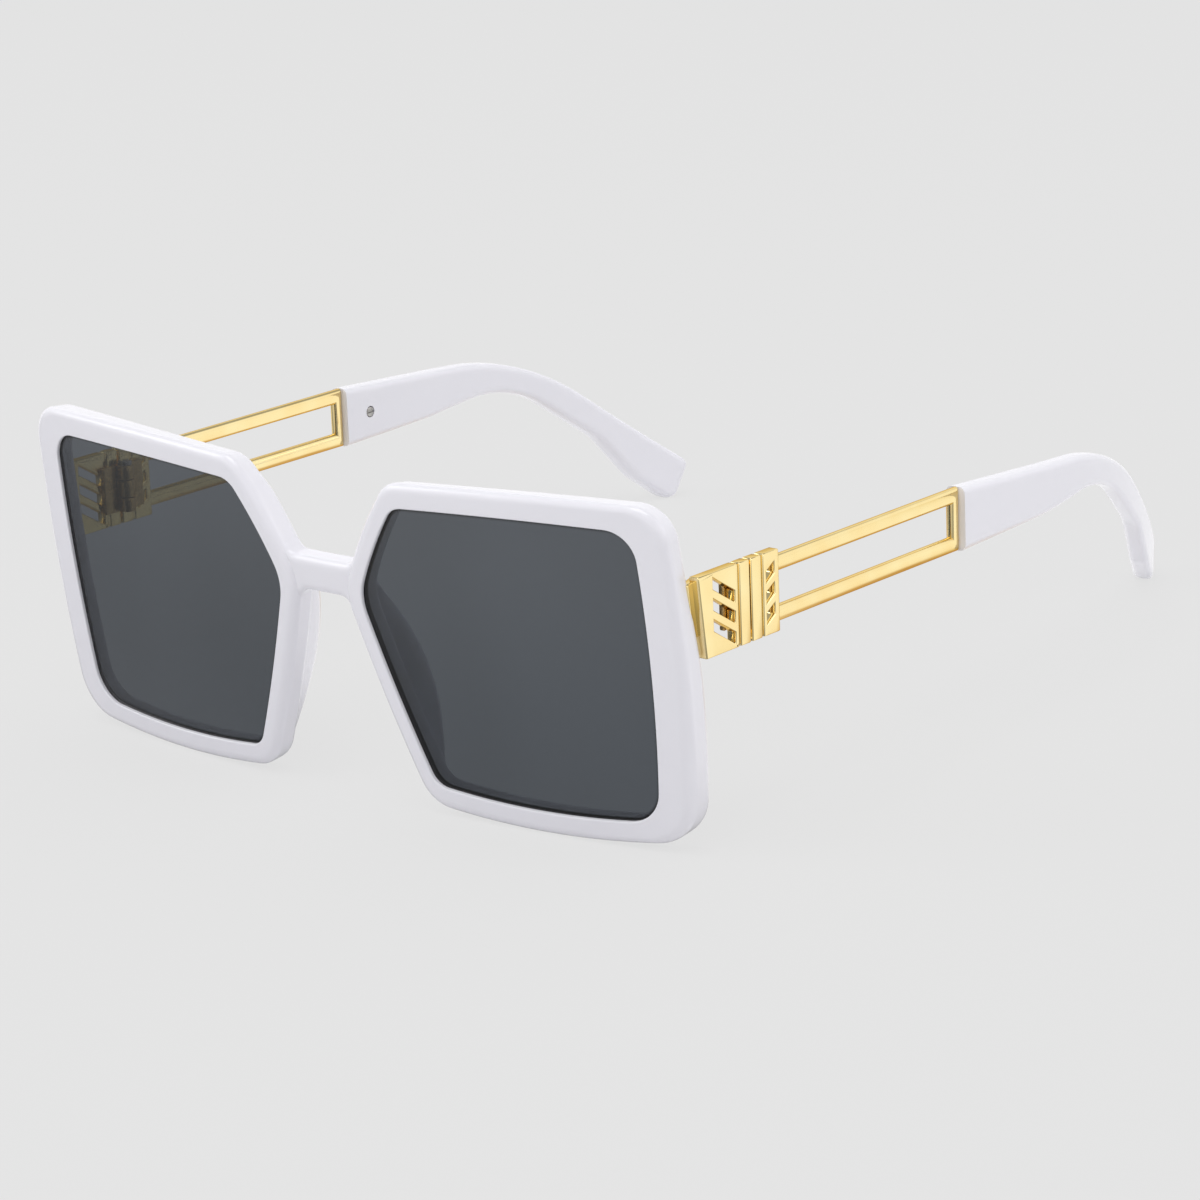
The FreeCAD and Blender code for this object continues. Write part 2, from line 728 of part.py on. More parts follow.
def add_openwork(body, label, side, border, length):
    """Slanted slots through a plate, and the groove line beside the seam on its outer face."""
    slots = new_sketch(body, label + "_slots_profile", "YZ_Plane", PLATE_OUTER)
    for row in (-1, 0, 1):
        add_polygon(slots, slot_corners(side, cell(border), cell(length), row))
    add_pocket(body, slots, label + "_slots", cell("plate_thickness"))
    line = new_sketch(body, label + "_line_profile", "YZ_Plane", PLATE_OUTER)
    near = "(%s + (%d) * Sizes.groove_line_offset)" % (SEAM, side)
    far = "(%s + (%d) * Sizes.groove_line_width)" % (near, side)
    add_polygon(line, [(near, cell("plate_bottom")), (far, cell("plate_bottom")),
                       (far, PLATE_TOP), (near, PLATE_TOP)])
    add_pocket(body, line, label + "_line", cell("groove_line_depth"))


def on_plate_face(edge):
    """Whether an edge bounds the outer face of a plate."""
    outer = value_of(PLATE_OUTER)
    return all(abs(vertex.X - outer) < NEAR for vertex in edge.Vertexes)


# Metal plate in front of the hinge, with its foot

def endpiece():
    """Plate from the front to the seam, with a foot let into the back of the rim."""
    body = new_body("endpiece_left")
    outline = new_sketch(body, "endpiece_outline", "YZ_Plane", PLATE_INNER)
    end = "(%s - Sizes.seam_gap / 2)" % SEAM
    add_polygon(outline, [(plate_front(cell("plate_bottom")), cell("plate_bottom")),
                          (end, cell("plate_bottom")), (end, PLATE_TOP), (plate_front(PLATE_TOP), PLATE_TOP)])
    add_pad(body, outline, "endpiece_plate", cell("plate_thickness"))
    add_fillet(body, "endpiece_edges", cell("plate_round"), on_plate_face)
    add_openwork(body, "endpiece", -1, "front_slot_border", "front_plate_length")
    lowered = FreeCAD.Placement(FreeCAD.Vector(0, 0, -size("foot_height") / 2), FreeCAD.Rotation())
    seat = lean.multiply(foot_seat())
    foot = new_sketch(body, "foot_profile", "XY_Plane", offset=seat.multiply(lowered))
    wide = "Sizes.foot_width / 2"
    heel = "Sizes.foot_width / 2 - Sizes.heel_width"
    sole = "-Sizes.foot_thickness"
    add_polygon(foot, [("-" + wide, sole), (wide, sole), (wide, cell("heel_height")),
                       (heel, cell("heel_height")), (heel, "0"), ("-" + wide, "0")])
    add_pad(body, foot, "foot", cell("foot_height"))
    turned = FreeCAD.Placement(ORIGIN, FreeCAD.Rotation(X_AXIS, 90))
    hole = new_sketch(body, "foot_hole_profile", "XY_Plane", offset=seat.multiply(turned))
    add_circle(hole, FOOT_SCREW_X, "0", "Sizes.foot_screw_radius + Sizes.foot_clearance")
    add_pocket(body, hole, "foot_hole", cell("foot_thickness"), forward=True)
    return body


endpiece_left = endpiece()

endpiece_screw_left = screw("endpiece_screw_left", "foot_screw", cell("foot_screw_length"))
foot_screw_place = FreeCAD.Placement(X_AXIS * value_of(FOOT_SCREW_X), FreeCAD.Rotation(X_AXIS, -90))
endpiece_screw_left.Placement = lean.multiply(foot_seat()).multiply(foot_screw_place)


# Three-barrel hinge behind the seam

LEAF_WALL = "(%s - Sizes.leaf_thickness)" % PLATE_INNER
LOW_BARREL_TOP = "(%s + Sizes.outer_barrel_height)" % HINGE_LOW
HIGH_BARREL_LOW = "(%s - Sizes.outer_barrel_height)" % HINGE_HIGH
OUTER_BARRELS = [(HINGE_LOW, LOW_BARREL_TOP), (HIGH_BARREL_LOW, HINGE_HIGH)]
MIDDLE_BARREL = ("(%s + Sizes.barrel_gap)" % LOW_BARREL_TOP, "(%s - Sizes.barrel_gap)" % HIGH_BARREL_LOW)


def leaf_start(side):
    """Expression for the edge of a leaf beside the barrels, on one side of the seam."""
    return "(%s + (%d) * (Sizes.barrel_radius + Sizes.leaf_gap))" % (SEAM, side)


def add_block(body, label, x_span, y_span, z_span):
    """Rectangular block padded up from its lower face, each span a pair of expressions."""
    base = new_sketch(body, label + "_profile", "XY_Plane", z_span[0])
    add_polygon(base, [(x_span[0], y_span[0]), (x_span[1], y_span[0]),
                       (x_span[1], y_span[1]), (x_span[0], y_span[1])])
    return add_pad(body, base, label, "%s - %s" % (z_span[1], z_span[0]))


def add_barrel(body, label, side, low, high):
    """One barrel of the hinge and the neck that joins it to its leaf."""
    spans = (leaf_start(side), SEAM) if side < 0 else (SEAM, leaf_start(side))
    outer = "(%s + Sizes.barrel_radius)" % HINGE_X
    add_block(body, label + "_neck", (LEAF_WALL, outer), spans, (low, high))
    ring = new_sketch(body, label + "_profile", "XY_Plane", low)
    add_circle(ring, HINGE_X, SEAM, cell("barrel_radius"))
    add_pad(body, ring, label, "%s - %s" % (high, low))


def hinge_leaf(label, side, barrels):
    """Leaf on the inner face of a plate with the barrels that it carries."""
    body = new_body(label)
    start = leaf_start(side)
    end = "(%s + (%d) * Sizes.leaf_length)" % (start, side)
    spans = (end, start) if side < 0 else (start, end)
    add_block(body, label + "_leaf", (LEAF_WALL, PLATE_INNER), spans, (HINGE_LOW, HINGE_HIGH))
    for number, (low, high) in enumerate(barrels):
        add_barrel(body, "%s_barrel_%d" % (label, number), side, low, high)
    bore = new_sketch(body, label + "_bore_profile", "XY_Plane", HINGE_LOW)
    add_circle(bore, HINGE_X, SEAM, HINGE_BORE)
    add_pocket(body, bore, label + "_bore", cell("hinge_height"), forward=True)
    return body


hinge_front_leaf_left = hinge_leaf("hinge_front_leaf_left", -1, OUTER_BARRELS)
hinge_rear_leaf_left = hinge_leaf("hinge_rear_leaf_left", 1, [MIDDLE_BARREL])
hinge_screw_left = screw("hinge_screw_left", "hinge_screw", cell("hinge_height"))
hinge_screw_left.Placement = FreeCAD.Placement(FreeCAD.Vector(hinge_x, seam, value_of(HINGE_HIGH)),
                                               FreeCAD.Rotation())


# Two-rail arm behind the hinge

def temple_arm():
    """Rear plate, two rails and an end bar in one piece, with a tang for the tip."""
    body = new_body("temple_arm_left")
    outline = new_sketch(body, "arm_outline", "YZ_Plane", PLATE_INNER)
    start = "(%s + Sizes.seam_gap / 2)" % SEAM
    plate_end = "(%s + Sizes.rear_plate_length)" % SEAM
    add_polygon(outline, [(start, cell("plate_bottom")), (plate_end, cell("plate_bottom")),
                          (plate_end, ARM_LOW), (ARM_END, ARM_LOW), (ARM_END, ARM_TOP), (plate_end, ARM_TOP),
                          (plate_end, PLATE_TOP), (start, PLATE_TOP)])
    window_end = "(%s - Sizes.end_bar)" % ARM_END
    window_low = "(%s + Sizes.rail_height)" % ARM_LOW
    window_top = "(%s - Sizes.rail_height)" % ARM_TOP
    add_polygon(outline, [(plate_end, window_low), (window_end, window_low),
                          (window_end, window_top), (plate_end, window_top)])
    add_pad(body, outline, "arm_plate", cell("plate_thickness"))
    shortest_rail = size("arm_length") / 2
    add_fillet(body, "arm_rails", "min(Sizes.rail_round; Sizes.plate_thickness * %g)" % ROUND_LIMIT,
               lambda edge: is_along(edge, Y_AXIS) and edge.Length > shortest_rail)
    add_openwork(body, "arm", 1, "rear_slot_border", "rear_plate_length")
    inner = "(%s - Sizes.plate_thickness / 2 - Sizes.tang_thickness / 2)" % PLATE_OUTER
    tang = new_sketch(body, "tang_profile", "YZ_Plane", inner)
    tang_low = "%s - Sizes.tang_height / 2" % ARM_MIDDLE
    tang_top = "%s + Sizes.tang_height / 2" % ARM_MIDDLE
    root = "(%s - Sizes.end_bar / 2)" % ARM_END
    tang_end = "(%s + Sizes.tang_length)" % TIP_START
    add_polygon(tang, [(root, tang_low), (tang_end, tang_low), (tang_end, tang_top), (root, tang_top)])
    add_pad(body, tang, "tang", cell("tang_thickness"))
    hole = new_sketch(body, "tang_hole_profile", "YZ_Plane", PLATE_OUTER)
    add_circle(hole, TIP_SCREW_Y, ARM_MIDDLE, "Sizes.tip_screw_radius + Sizes.tip_screw_clearance")
    add_pocket(body, hole, "tang_hole", cell("plate_thickness"))
    return body


temple_arm_left = temple_arm()


# Moulded arm tip

def tip_side_profile():
    """Side view of the tip: a level handle, a bend, a narrow neck, and a paddle with a heel and a slanted end."""
    bend_top = arm_top - size("tip_bend_drop")
    end_top = bend_top - size("tip_paddle_drop")
    end_low = (tip_end - size("tip_end_lean"), end_top - size("tip_end_height"))
    heel = (end_low[0] - size("tip_sole_reach"), end_low[1] + size("tip_sole_rise"))
    flare = (heel[0] - size("tip_flare_reach"), heel[1] + size("tip_flare_rise"))
    return rounded_wire([
        (tip_start, arm_top, 0),
        (tip_start, arm_low, 0),
        (tip_bend - size("tip_rise_setback"), arm_low + size("tip_rise"), size("tip_rise_radius")),
        (tip_bend - size("tip_neck_setback"), bend_top - size("tip_neck"), size("tip_bend_bottom_radius")),
        (*flare, size("tip_flare_radius")),
        (*heel, size("tip_heel_radius")),
        (*end_low, size("tip_end_bottom_radius")),
        (tip_end, end_top, size("tip_end_top_radius")),
        (tip_bend, bend_top, size("tip_bend_top_radius")),
    ])


def tip_band():
    """Plan of the tip: straight along the arm, then bowed in towards the head."""
    bow = size("tip_bow_radius")
    half = size("tip_thickness") / 2
    bow_y = tip_start + size("tip_straight")
    turn = math.asin((tip_end + size("tip_thickness") - bow_y) / bow)

    def along(radius, angle):
        """Point of the bow at a radius and an angle."""
        x = plate_centre_x - bow + radius * math.cos(angle)
        return FreeCAD.Vector(x, bow_y + radius * math.sin(angle), 0)

    outer = [along(bow + half, turn * share) for share in (0, 0.5, 1)]
    inner = [along(bow - half, turn * share) for share in (0, 0.5, 1)]
    start_outer = FreeCAD.Vector(outer[0].x, tip_start, 0)
    start_inner = FreeCAD.Vector(inner[0].x, tip_start, 0)
    edges = [
        Part.LineSegment(start_inner, start_outer).toShape(),
        Part.LineSegment(start_outer, outer[0]).toShape(),
        Part.Arc(*outer).toShape(),
        Part.LineSegment(outer[2], inner[2]).toShape(),
        Part.Arc(inner[2], inner[1], inner[0]).toShape(),
        Part.LineSegment(inner[0], start_inner).toShape(),
    ]
    return Part.Face(Part.Wire(edges))


def temple_tip():
    """Tip as the common part of its side view and its plan, with the slot for the tang."""
    side = Part.Face(tip_side_profile())
    side.rotate(ORIGIN, Z_AXIS, 90)
    blank = side.extrude(X_AXIS * (plate_centre_x + size("tip_thickness")))
    drop = size("tip_bend_drop") + size("tip_paddle_drop") + size("tip_end_height") + size("tip_thickness")
    band = tip_band()
    band.translate(Z_AXIS * (arm_top - drop))
    blank = blank.common(band.extrude(Z_AXIS * (drop + size("tip_thickness"))))
    rounded = [edge for edge in blank.Edges if edge.CenterOfMass.y > tip_start + NEAR
               and not is_along(edge, X_AXIS)]
    blank = blank.makeChamfer(strip_leg(min(size("tip_round"), size("tip_thickness") * ROUND_LIMIT)), rounded)
    gap = size("tip_slot_clearance")
    deep = size("tang_length") + gap
    thick = size("tang_thickness") + 2 * gap
    high = size("tang_height") + 2 * gap
    corner = FreeCAD.Vector(plate_centre_x - thick / 2, tip_start, arm_middle - high / 2)
    blank = blank.cut(Part.makeBox(thick, deep, high, corner))
    centre = FreeCAD.Vector(tip_inner_x, tip_screw_y, arm_middle)
    play = size("tip_screw_clearance")
    head_height = size("tip_screw_head_height")
    head = Part.makeCylinder(size("tip_screw_head_radius") + play, head_height, centre, X_AXIS)
    reach = head_height + size("tip_screw_length") + play
    shank = Part.makeCylinder(size("tip_screw_radius") + play, reach, centre, X_AXIS)
    return blank.cut([head, shank])


tip_shape = temple_tip()
temple_tip_left = doc.addObject("Part::Feature", "temple_tip_left")
temple_tip_left.Label = "temple_tip_left"
temple_tip_left.Shape = tip_shape

tip_screw_left = screw("tip_screw_left", "tip_screw", cell("tip_screw_length"))
tip_screw_seat = FreeCAD.Vector(tip_inner_x + size("tip_screw_head_height"), tip_screw_y, arm_middle)
tip_screw_left.Placement = FreeCAD.Placement(tip_screw_seat, FreeCAD.Rotation(Y_AXIS, -90))


# Stand the glasses on their rims and tips

def facet_points(shape):
    """Points (y, z) spread over a shape's surface."""
    return [(point.y, point.z) for point in shape.tessellate(FACET)[0]]


def lowest(points, angle):
    """Lowest height among points once the arms dip by an angle in radians."""
    return min(z * math.cos(angle) - y * math.sin(angle) for y, z in points)


def resting_angle(front_points, tip_points):
    """Dip of the arms at which the rims and the tips touch the same level."""
    low, high = -LARGEST_DIP, LARGEST_DIP
    while high - low > DIP_TOLERANCE:
        middle = (low + high) / 2
        if lowest(tip_points, middle) > lowest(front_points, middle):
            low = middle
        else:
            high = middle
    return (low + high) / 2


worn_front = front_shape.copy()
worn_front.Placement = lean
front_points = facet_points(worn_front)
tip_points = facet_points(tip_shape)
dip = resting_angle(front_points, tip_points)
every_y = [y * math.cos(dip) + z * math.sin(dip) for y, z in front_points + tip_points]
floor = min(lowest(front_points, dip), lowest(tip_points, dip))
stand = FreeCAD.Placement(FreeCAD.Vector(0, -(min(every_y) + max(every_y)) / 2, -floor),
                          FreeCAD.Rotation(X_AXIS, -math.degrees(dip)))

for piece in (front_frame, lens_left):
    piece.Placement = stand.multiply(lean)
left_pieces = [lens_left, endpiece_left, endpiece_screw_left, hinge_front_leaf_left, hinge_rear_leaf_left,
               hinge_screw_left, temple_arm_left, temple_tip_left, tip_screw_left]
for piece in left_pieces[1:]:
    piece.Placement = stand.multiply(piece.Placement)
right_pieces = []
for piece in left_pieces:
    label = piece.Label.replace("_left", "_right")
    twin = doc.addObject("Part::Mirroring", label)
    twin.Label = label
    twin.Source = piece
    twin.Normal = X_AXIS
    right_pieces.append(twin)
doc.recompute()

# Check every object, then write one file for each piece
for item in doc.Objects:
    if "Invalid" in item.State or "Error" in item.State:
        raise RuntimeError("%s failed: %s" % (item.Label, item.State))
pieces = [front_frame] + left_pieces + right_pieces
for piece in pieces:
    if piece.Shape.isNull() or not piece.Shape.isValid():
        raise RuntimeError("%s has no valid shape" % piece.Label)
os.makedirs("parts", exist_ok=True)
for piece in pieces:
    piece.Shape.exportStep("parts/%s.step" % piece.Label)
    print(piece.Label, len(piece.Shape.Solids), "solids", round(piece.Shape.Volume, 2), "mm3")
hinge = stand.multVec(FreeCAD.Vector(hinge_x, seam, foot_rise))
print("left hinge at", [round(value, 4) for value in hinge], "axis",
      [round(value, 6) for value in stand.Rotation.multVec(Z_AXIS)], "dip", round(math.degrees(dip), 4))
print("stand", stand)
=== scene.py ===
import json
import logging
import math
from dataclasses import dataclass, field
from enum import Enum, IntEnum
from typing import Callable, Sequence

import bmesh
import bpy
import numpy as np
from mathutils import Matrix, Vector


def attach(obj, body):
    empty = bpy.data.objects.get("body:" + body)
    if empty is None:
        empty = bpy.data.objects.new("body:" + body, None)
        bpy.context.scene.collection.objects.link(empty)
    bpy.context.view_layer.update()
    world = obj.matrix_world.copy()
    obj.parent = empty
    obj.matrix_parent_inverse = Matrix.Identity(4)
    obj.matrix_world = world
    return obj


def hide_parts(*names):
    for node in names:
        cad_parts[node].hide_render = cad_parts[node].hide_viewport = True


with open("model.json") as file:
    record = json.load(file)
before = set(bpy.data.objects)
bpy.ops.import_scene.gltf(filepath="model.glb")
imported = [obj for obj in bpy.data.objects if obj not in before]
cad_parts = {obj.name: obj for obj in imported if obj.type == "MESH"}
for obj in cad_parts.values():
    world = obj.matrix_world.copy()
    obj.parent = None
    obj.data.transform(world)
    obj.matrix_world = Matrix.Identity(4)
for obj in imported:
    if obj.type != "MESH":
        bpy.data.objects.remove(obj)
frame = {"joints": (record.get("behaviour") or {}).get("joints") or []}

LOG = logging.getLogger("sunglasses")
MM = 0.001
MERGE_DISTANCE = 2e-7
SMOOTH_ANGLE = math.radians(38.0)
BEVEL_ANGLE = math.radians(30.0)
BEVEL_STEPS = 3
# Point attribute that says where the lens finish paints its groove shadow.
SHADE_MARK = "mark"

Place = Callable[[np.ndarray], np.ndarray]
Colour = tuple[float, float, float]
Socket = bpy.types.NodeSocket


class Side(Enum):
    """The wearer's two sides; the value is the sign of X."""

    LEFT = 1
    RIGHT = -1

    @property
    def word(self) -> str:
        """The side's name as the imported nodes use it."""
        return self.name.lower()

    @property
    def arm_body(self) -> str:
        """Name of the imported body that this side's arm belongs to."""
        return f"arm_{self.word}"

    @property
    def mirror(self) -> np.ndarray:
        """Factors on the coordinates of a piece that is made for the left."""
        return np.array([self.value, 1.0, 1.0])


class Slot(Enum):
    """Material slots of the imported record."""

    WHITE = "white_plastic"
    LENS = "tinted_lens"
    GOLD = "gold_metal"
    HINGE = "hinge_steel"
    SCREW = "screw_steel"


class Edge(IntEnum):
    """The five bowed sides of an opening, in the order of its outline."""

    BROW = 0
    DIAGONAL = 1
    NOSE = 2
    CHEEK = 3
    TEMPLE = 4


# Vectors

def unit(vectors: np.ndarray) -> np.ndarray:
    """The vectors along the last axis, each scaled to length 1."""
    return vectors / np.linalg.norm(vectors, axis=-1, keepdims=True)


def left_of(ways: np.ndarray) -> np.ndarray:
    """Flat vectors turned by a quarter to the left."""
    return np.stack([-ways[:, 1], ways[:, 0]], axis=1)


def rotation(angle: float, axis: str) -> np.ndarray:
    """Rotation matrix about one axis of the frame."""
    return np.array(Matrix.Rotation(angle, 3, axis))


# Meshes from numpy surfaces

class Shell:
    """One closed surface of a piece, gathered patch by patch in millimetres.

    Attributes:
        rounding: Width in millimetres of the bevel on its sharp edges, 0 for none.
    """

    def __init__(self, rounding: float = 0.0) -> None:
        """Starts an empty shell.

        Args:
            rounding: Width of the bevel on the sharp edges.
        """
        self.rounding = rounding
        self.points: list[np.ndarray] = []
        self.marks: list[np.ndarray] = []
        self.faces: list[list[int]] = []
        self.count = 0

    @classmethod
    def grid(cls, points: np.ndarray, wrap: tuple[bool, bool], marks: np.ndarray | float = 0.0) -> "Shell":
        """Makes a shell out of one grid that closes on itself one way and shrinks to a point at its ends.

        Args:
            points: Array of shape (rows, columns, 3).
            wrap: Whether the grid closes on itself along its rows and its columns.
            marks: Value of the shade mark that the finish reads at each point, where it paints shade.

        Returns:
            The closed shell.
        """
        shell = cls()
        shell.add_quads(shell.add_points(points, marks), wrap)
        return shell

    @classmethod
    def tube(cls, points: np.ndarray, rounding: float = 0.0, closed_path: bool = False) -> "Shell":
        """Makes a shell out of a closed profile carried along a path, with end faces where the path is open.

        Args:
            points: Array of shape (stations, profile points, 3).
            rounding: Width of the bevel on the sharp edges.
            closed_path: Whether the last station joins the first.

        Returns:
            The closed shell.
        """
        shell = cls(rounding)
        numbers = shell.add_points(points)
        shell.add_quads(numbers, wrap=(closed_path, True))
        if not closed_path:
            shell.add_ring(numbers[0])
            shell.add_ring(numbers[-1])
        return shell

    def add_points(self, points: np.ndarray, marks: np.ndarray | float = 0.0) -> np.ndarray:
        """Adds points to the shell.

        Args:
            points: Array of shape (..., 3).
            marks: Value of the shade mark that the finish reads at each point, where it paints shade.

        Returns:
            The numbers of the points, in the same shape.
        """
        flat = points.reshape(-1, 3)
        numbers = np.arange(self.count, self.count + len(flat)).reshape(points.shape[:-1])
        self.points.append(flat)
        self.marks.append(np.broadcast_to(marks, points.shape[:-1]).ravel())
        self.count += len(flat)
        return numbers

    def add_quads(self, numbers: np.ndarray, wrap: tuple[bool, bool] = (False, False),
                  keep: np.ndarray | None = None) -> None:
        """Adds the four-cornered faces of a grid of points.

        Args:
            numbers: Point numbers of shape (rows, columns).
            wrap: Whether the grid closes on itself along its rows and its columns.
            keep: Mask of the cells that stay, or None for all of them.
        """
        if wrap[0]:
            numbers = np.concatenate([numbers, numbers[:1]], axis=0)
        if wrap[1]:
            numbers = np.concatenate([numbers, numbers[:, :1]], axis=1)
        corners = [numbers[:-1, :-1], numbers[1:, :-1], numbers[1:, 1:], numbers[:-1, 1:]]
        quads = np.stack(corners, axis=-1)
        if keep is not None:
            quads = quads[keep]
        self.faces.extend(quads.reshape(-1, 4).tolist())

    def add_ring(self, numbers: np.ndarray) -> None:
        """Adds one face with the given points as its corners."""
        self.faces.append(numbers.ravel().tolist())

    def mesh_into(self, target: bmesh.types.BMesh, place: Place) -> None:
        """Cleans and bevels the shell and adds it to a piece.

        Args:
            target: Mesh of the piece.
            place: Turns millimetres of the shell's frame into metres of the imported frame.
        """
        mesh = bpy.data.meshes.new("shell")
        mesh.from_pydata(place(np.concatenate(self.points)).tolist(), [], self.faces)
        # The marks carry painted shade to the finish, as a point attribute.
        marks = np.concatenate(self.marks).astype(np.float32)
        if marks.any():
            mesh.attributes.new(SHADE_MARK, "FLOAT", "POINT").data.foreach_set("value", marks)
        shell = bmesh.new()
        shell.from_mesh(mesh)
        bmesh.ops.remove_doubles(shell, verts=shell.verts, dist=MERGE_DISTANCE)
        bmesh.ops.dissolve_degenerate(shell, edges=shell.edges, dist=MERGE_DISTANCE)
        bmesh.ops.recalc_face_normals(shell, faces=shell.faces)
        if self.rounding > 0.0:
            sharp = [edge for edge in shell.edges if edge.calc_face_angle(0.0) > BEVEL_ANGLE]
            bmesh.ops.bevel(shell, geom=sharp, offset=self.rounding * MM, offset_type="OFFSET",
                            segments=BEVEL_STEPS, profile=0.5, affect="EDGES", clamp_overlap=True)
        shell.to_mesh(mesh)
        shell.free()
        target.from_mesh(mesh)
        bpy.data.meshes.remove(mesh)


def make_piece(name: str, shells: Sequence[Shell], place: Place) -> bpy.types.Object:
    """Makes one mesh object out of closed shells.

    Args:
        name: Name of the new object.
        shells: Its closed surfaces.
        place: Turns millimetres of the shells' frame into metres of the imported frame.

    Returns:
        The object, linked to the scene, smooth shaded with sharp edges kept.
    """
    joined = bmesh.new()
    for shell in shells:
        shell.mesh_into(joined, place)
    mesh = bpy.data.meshes.new(name)
    joined.to_mesh(mesh)
    joined.free()
    mesh.shade_smooth()
    mesh.set_sharp_from_angle(angle=SMOOTH_ANGLE)
    piece = bpy.data.objects.new(name, mesh)
    bpy.context.scene.collection.objects.link(piece)
    return piece


def cut_away(piece: bpy.types.Object, cutter: bpy.types.Object) -> None:
    """Cuts one closed mesh out of another and removes the cutter.

    Args:
        piece: Object that keeps its place and name and gets the cut mesh.
        cutter: Object that is taken out of it.
    """
    cut = piece.modifiers.new("cut", "BOOLEAN")
    cut.operation = "DIFFERENCE"
    cut.solver = "EXACT"
    cut.object = cutter
    graph = bpy.context.evaluated_depsgraph_get()
    mesh = bpy.data.meshes.new_from_object(piece.evaluated_get(graph))
    piece.modifiers.clear()
    old = piece.data
    piece.data = mesh
    mesh.set_sharp_from_angle(angle=SMOOTH_ANGLE)
    bpy.data.meshes.remove(old)
    bpy.data.objects.remove(cutter)


def at_levels(profile: np.ndarray, levels: Sequence[float]) -> np.ndarray:
    """Puts a flat profile at several heights.

    Args:
        profile: Points of shape (points, 2), or (levels, points, 2) for one that changes.
        levels: Heights, from one end to the other.

    Returns:
        Array of shape (levels, points, 3).
    """
    points = np.empty((len(levels), profile.shape[-2], 3))
    points[..., :2] = profile
    points[..., 2] = np.array(levels)[:, None]
    return points


def block(low: Sequence[float], high: Sequence[float], rounding: float) -> Shell:
    """Bevelled block between two corners.

    Args:
        low: Lowest corner.
        high: Highest corner.
        rounding: Width of the bevel on its edges.

    Returns:
        The block as a closed shell.
    """
    corners = np.array([[low[0], low[1]], [high[0], low[1]], [high[0], high[1]], [low[0], high[1]]])
    return Shell.tube(at_levels(corners, (low[2], high[2])), rounding)


def revolved(profile: np.ndarray, steps: int) -> np.ndarray:
    """Turns a profile of (radius, height) about Z.

    Formula: (r cos a, r sin a, z) for a from 0 to a full turn.

    Args:
        profile: Array of shape (points, 2).
        steps: Points round the turn.

    Returns:
        Array of shape (steps, points, 3).
    """
    turn = np.linspace(0.0, 2.0 * math.pi, steps, endpoint=False)
    radius = profile[None, :, 0]
    points = np.empty((steps, len(profile), 3))
    points[..., 0] = radius * np.cos(turn)[:, None]
    points[..., 1] = radius * np.sin(turn)[:, None]
    points[..., 2] = profile[None, :, 1]
    return points


# Profiles and outlines

ROUND_STEPS = 7
SUPPORT = 0.18


@dataclass(frozen=True)
class Section:
    """Closed profile between a low line and a high line.

    Attributes:
        share: 0 for points measured from the low line, 1 from the high line.
        shift: Distance from that line, positive from low to high.
        depth: Distance behind the front.
    """

    share: np.ndarray
    shift: np.ndarray
    depth: np.ndarray

    def carry(self, low: np.ndarray, high: np.ndarray) -> np.ndarray:
        """Carries the profile along two paired lines.

        Formula: p = low + share (high - low) + shift (high - low) / |high - low|.

        Args:
            low: Points of the low line, shape (stations, 2).
            high: Points of the high line, shape (stations, 2).

        Returns:
            Array of shape (stations, profile points, 2).
        """
        across = (high - low)[:, None]
        return low[:, None] + across * self.share[None, :, None] + unit(across) * self.shift[None, :, None]


def quarter_round() -> tuple[np.ndarray, np.ndarray]:
    """Quarter of a circle of radius 1, as its distances 1 - sin a and 1 - cos a from two tangents."""
    turn = np.linspace(0.0, math.pi / 2.0, ROUND_STEPS)
    return 1.0 - np.sin(turn), 1.0 - np.cos(turn)


def rounded_section(front: float, back: float, rounds: Sequence[tuple[float, float]],
                    inlet: Sequence[tuple[float, float]] = ()) -> Section:
    """Rounded rectangle between two depths, with rows of points that keep its flat sides flat.

    Formula of each round, a quarter of an ellipse: shift = w (1 - sin a), depth = h (1 - cos a).

    Args:
        front: Depth of the front side.
        back: Depth of the back side.
        rounds: Half axes (w, h) at low front, high front, high back and low back.
        inlet: Points (shift, depth) of a groove in the low side, from back to front.

    Returns:
        The closed profile.
    """
    out, down = quarter_round()
    low_front, high_front, high_back, low_back = rounds
    groove = np.array(inlet).reshape(-1, 2)
    runs = [
        (0.0, out[::-1] * low_front[0], front + down[::-1] * low_front[1]),
        (0.0, [low_front[0] + SUPPORT], [front]),
        (1.0, [-high_front[0] - SUPPORT], [front]),
        (1.0, -out * high_front[0], front + down * high_front[1]),
        (1.0, [0.0, 0.0], [front + high_front[1] + SUPPORT, back - high_back[1] - SUPPORT]),
        (1.0, -out[::-1] * high_back[0], back - down[::-1] * high_back[1]),
        (1.0, [-high_back[0] - SUPPORT], [back]),
        (0.0, [low_back[0] + SUPPORT], [back]),
        (0.0, out * low_back[0], back - down * low_back[1]),
        (0.0, [0.0], [back - low_back[1] - SUPPORT]),
        (0.0, groove[:, 0], groove[:, 1]),
        (0.0, [0.0], [front + low_front[1] + SUPPORT]),
    ]
    share = np.concatenate([np.full(len(shift), which) for which, shift, _ in runs])
    shift = np.concatenate([np.asarray(shift, dtype=float) for _, shift, _ in runs])
    depth = np.concatenate([np.asarray(depth, dtype=float) for _, _, depth in runs])
    return Section(share, shift, depth)


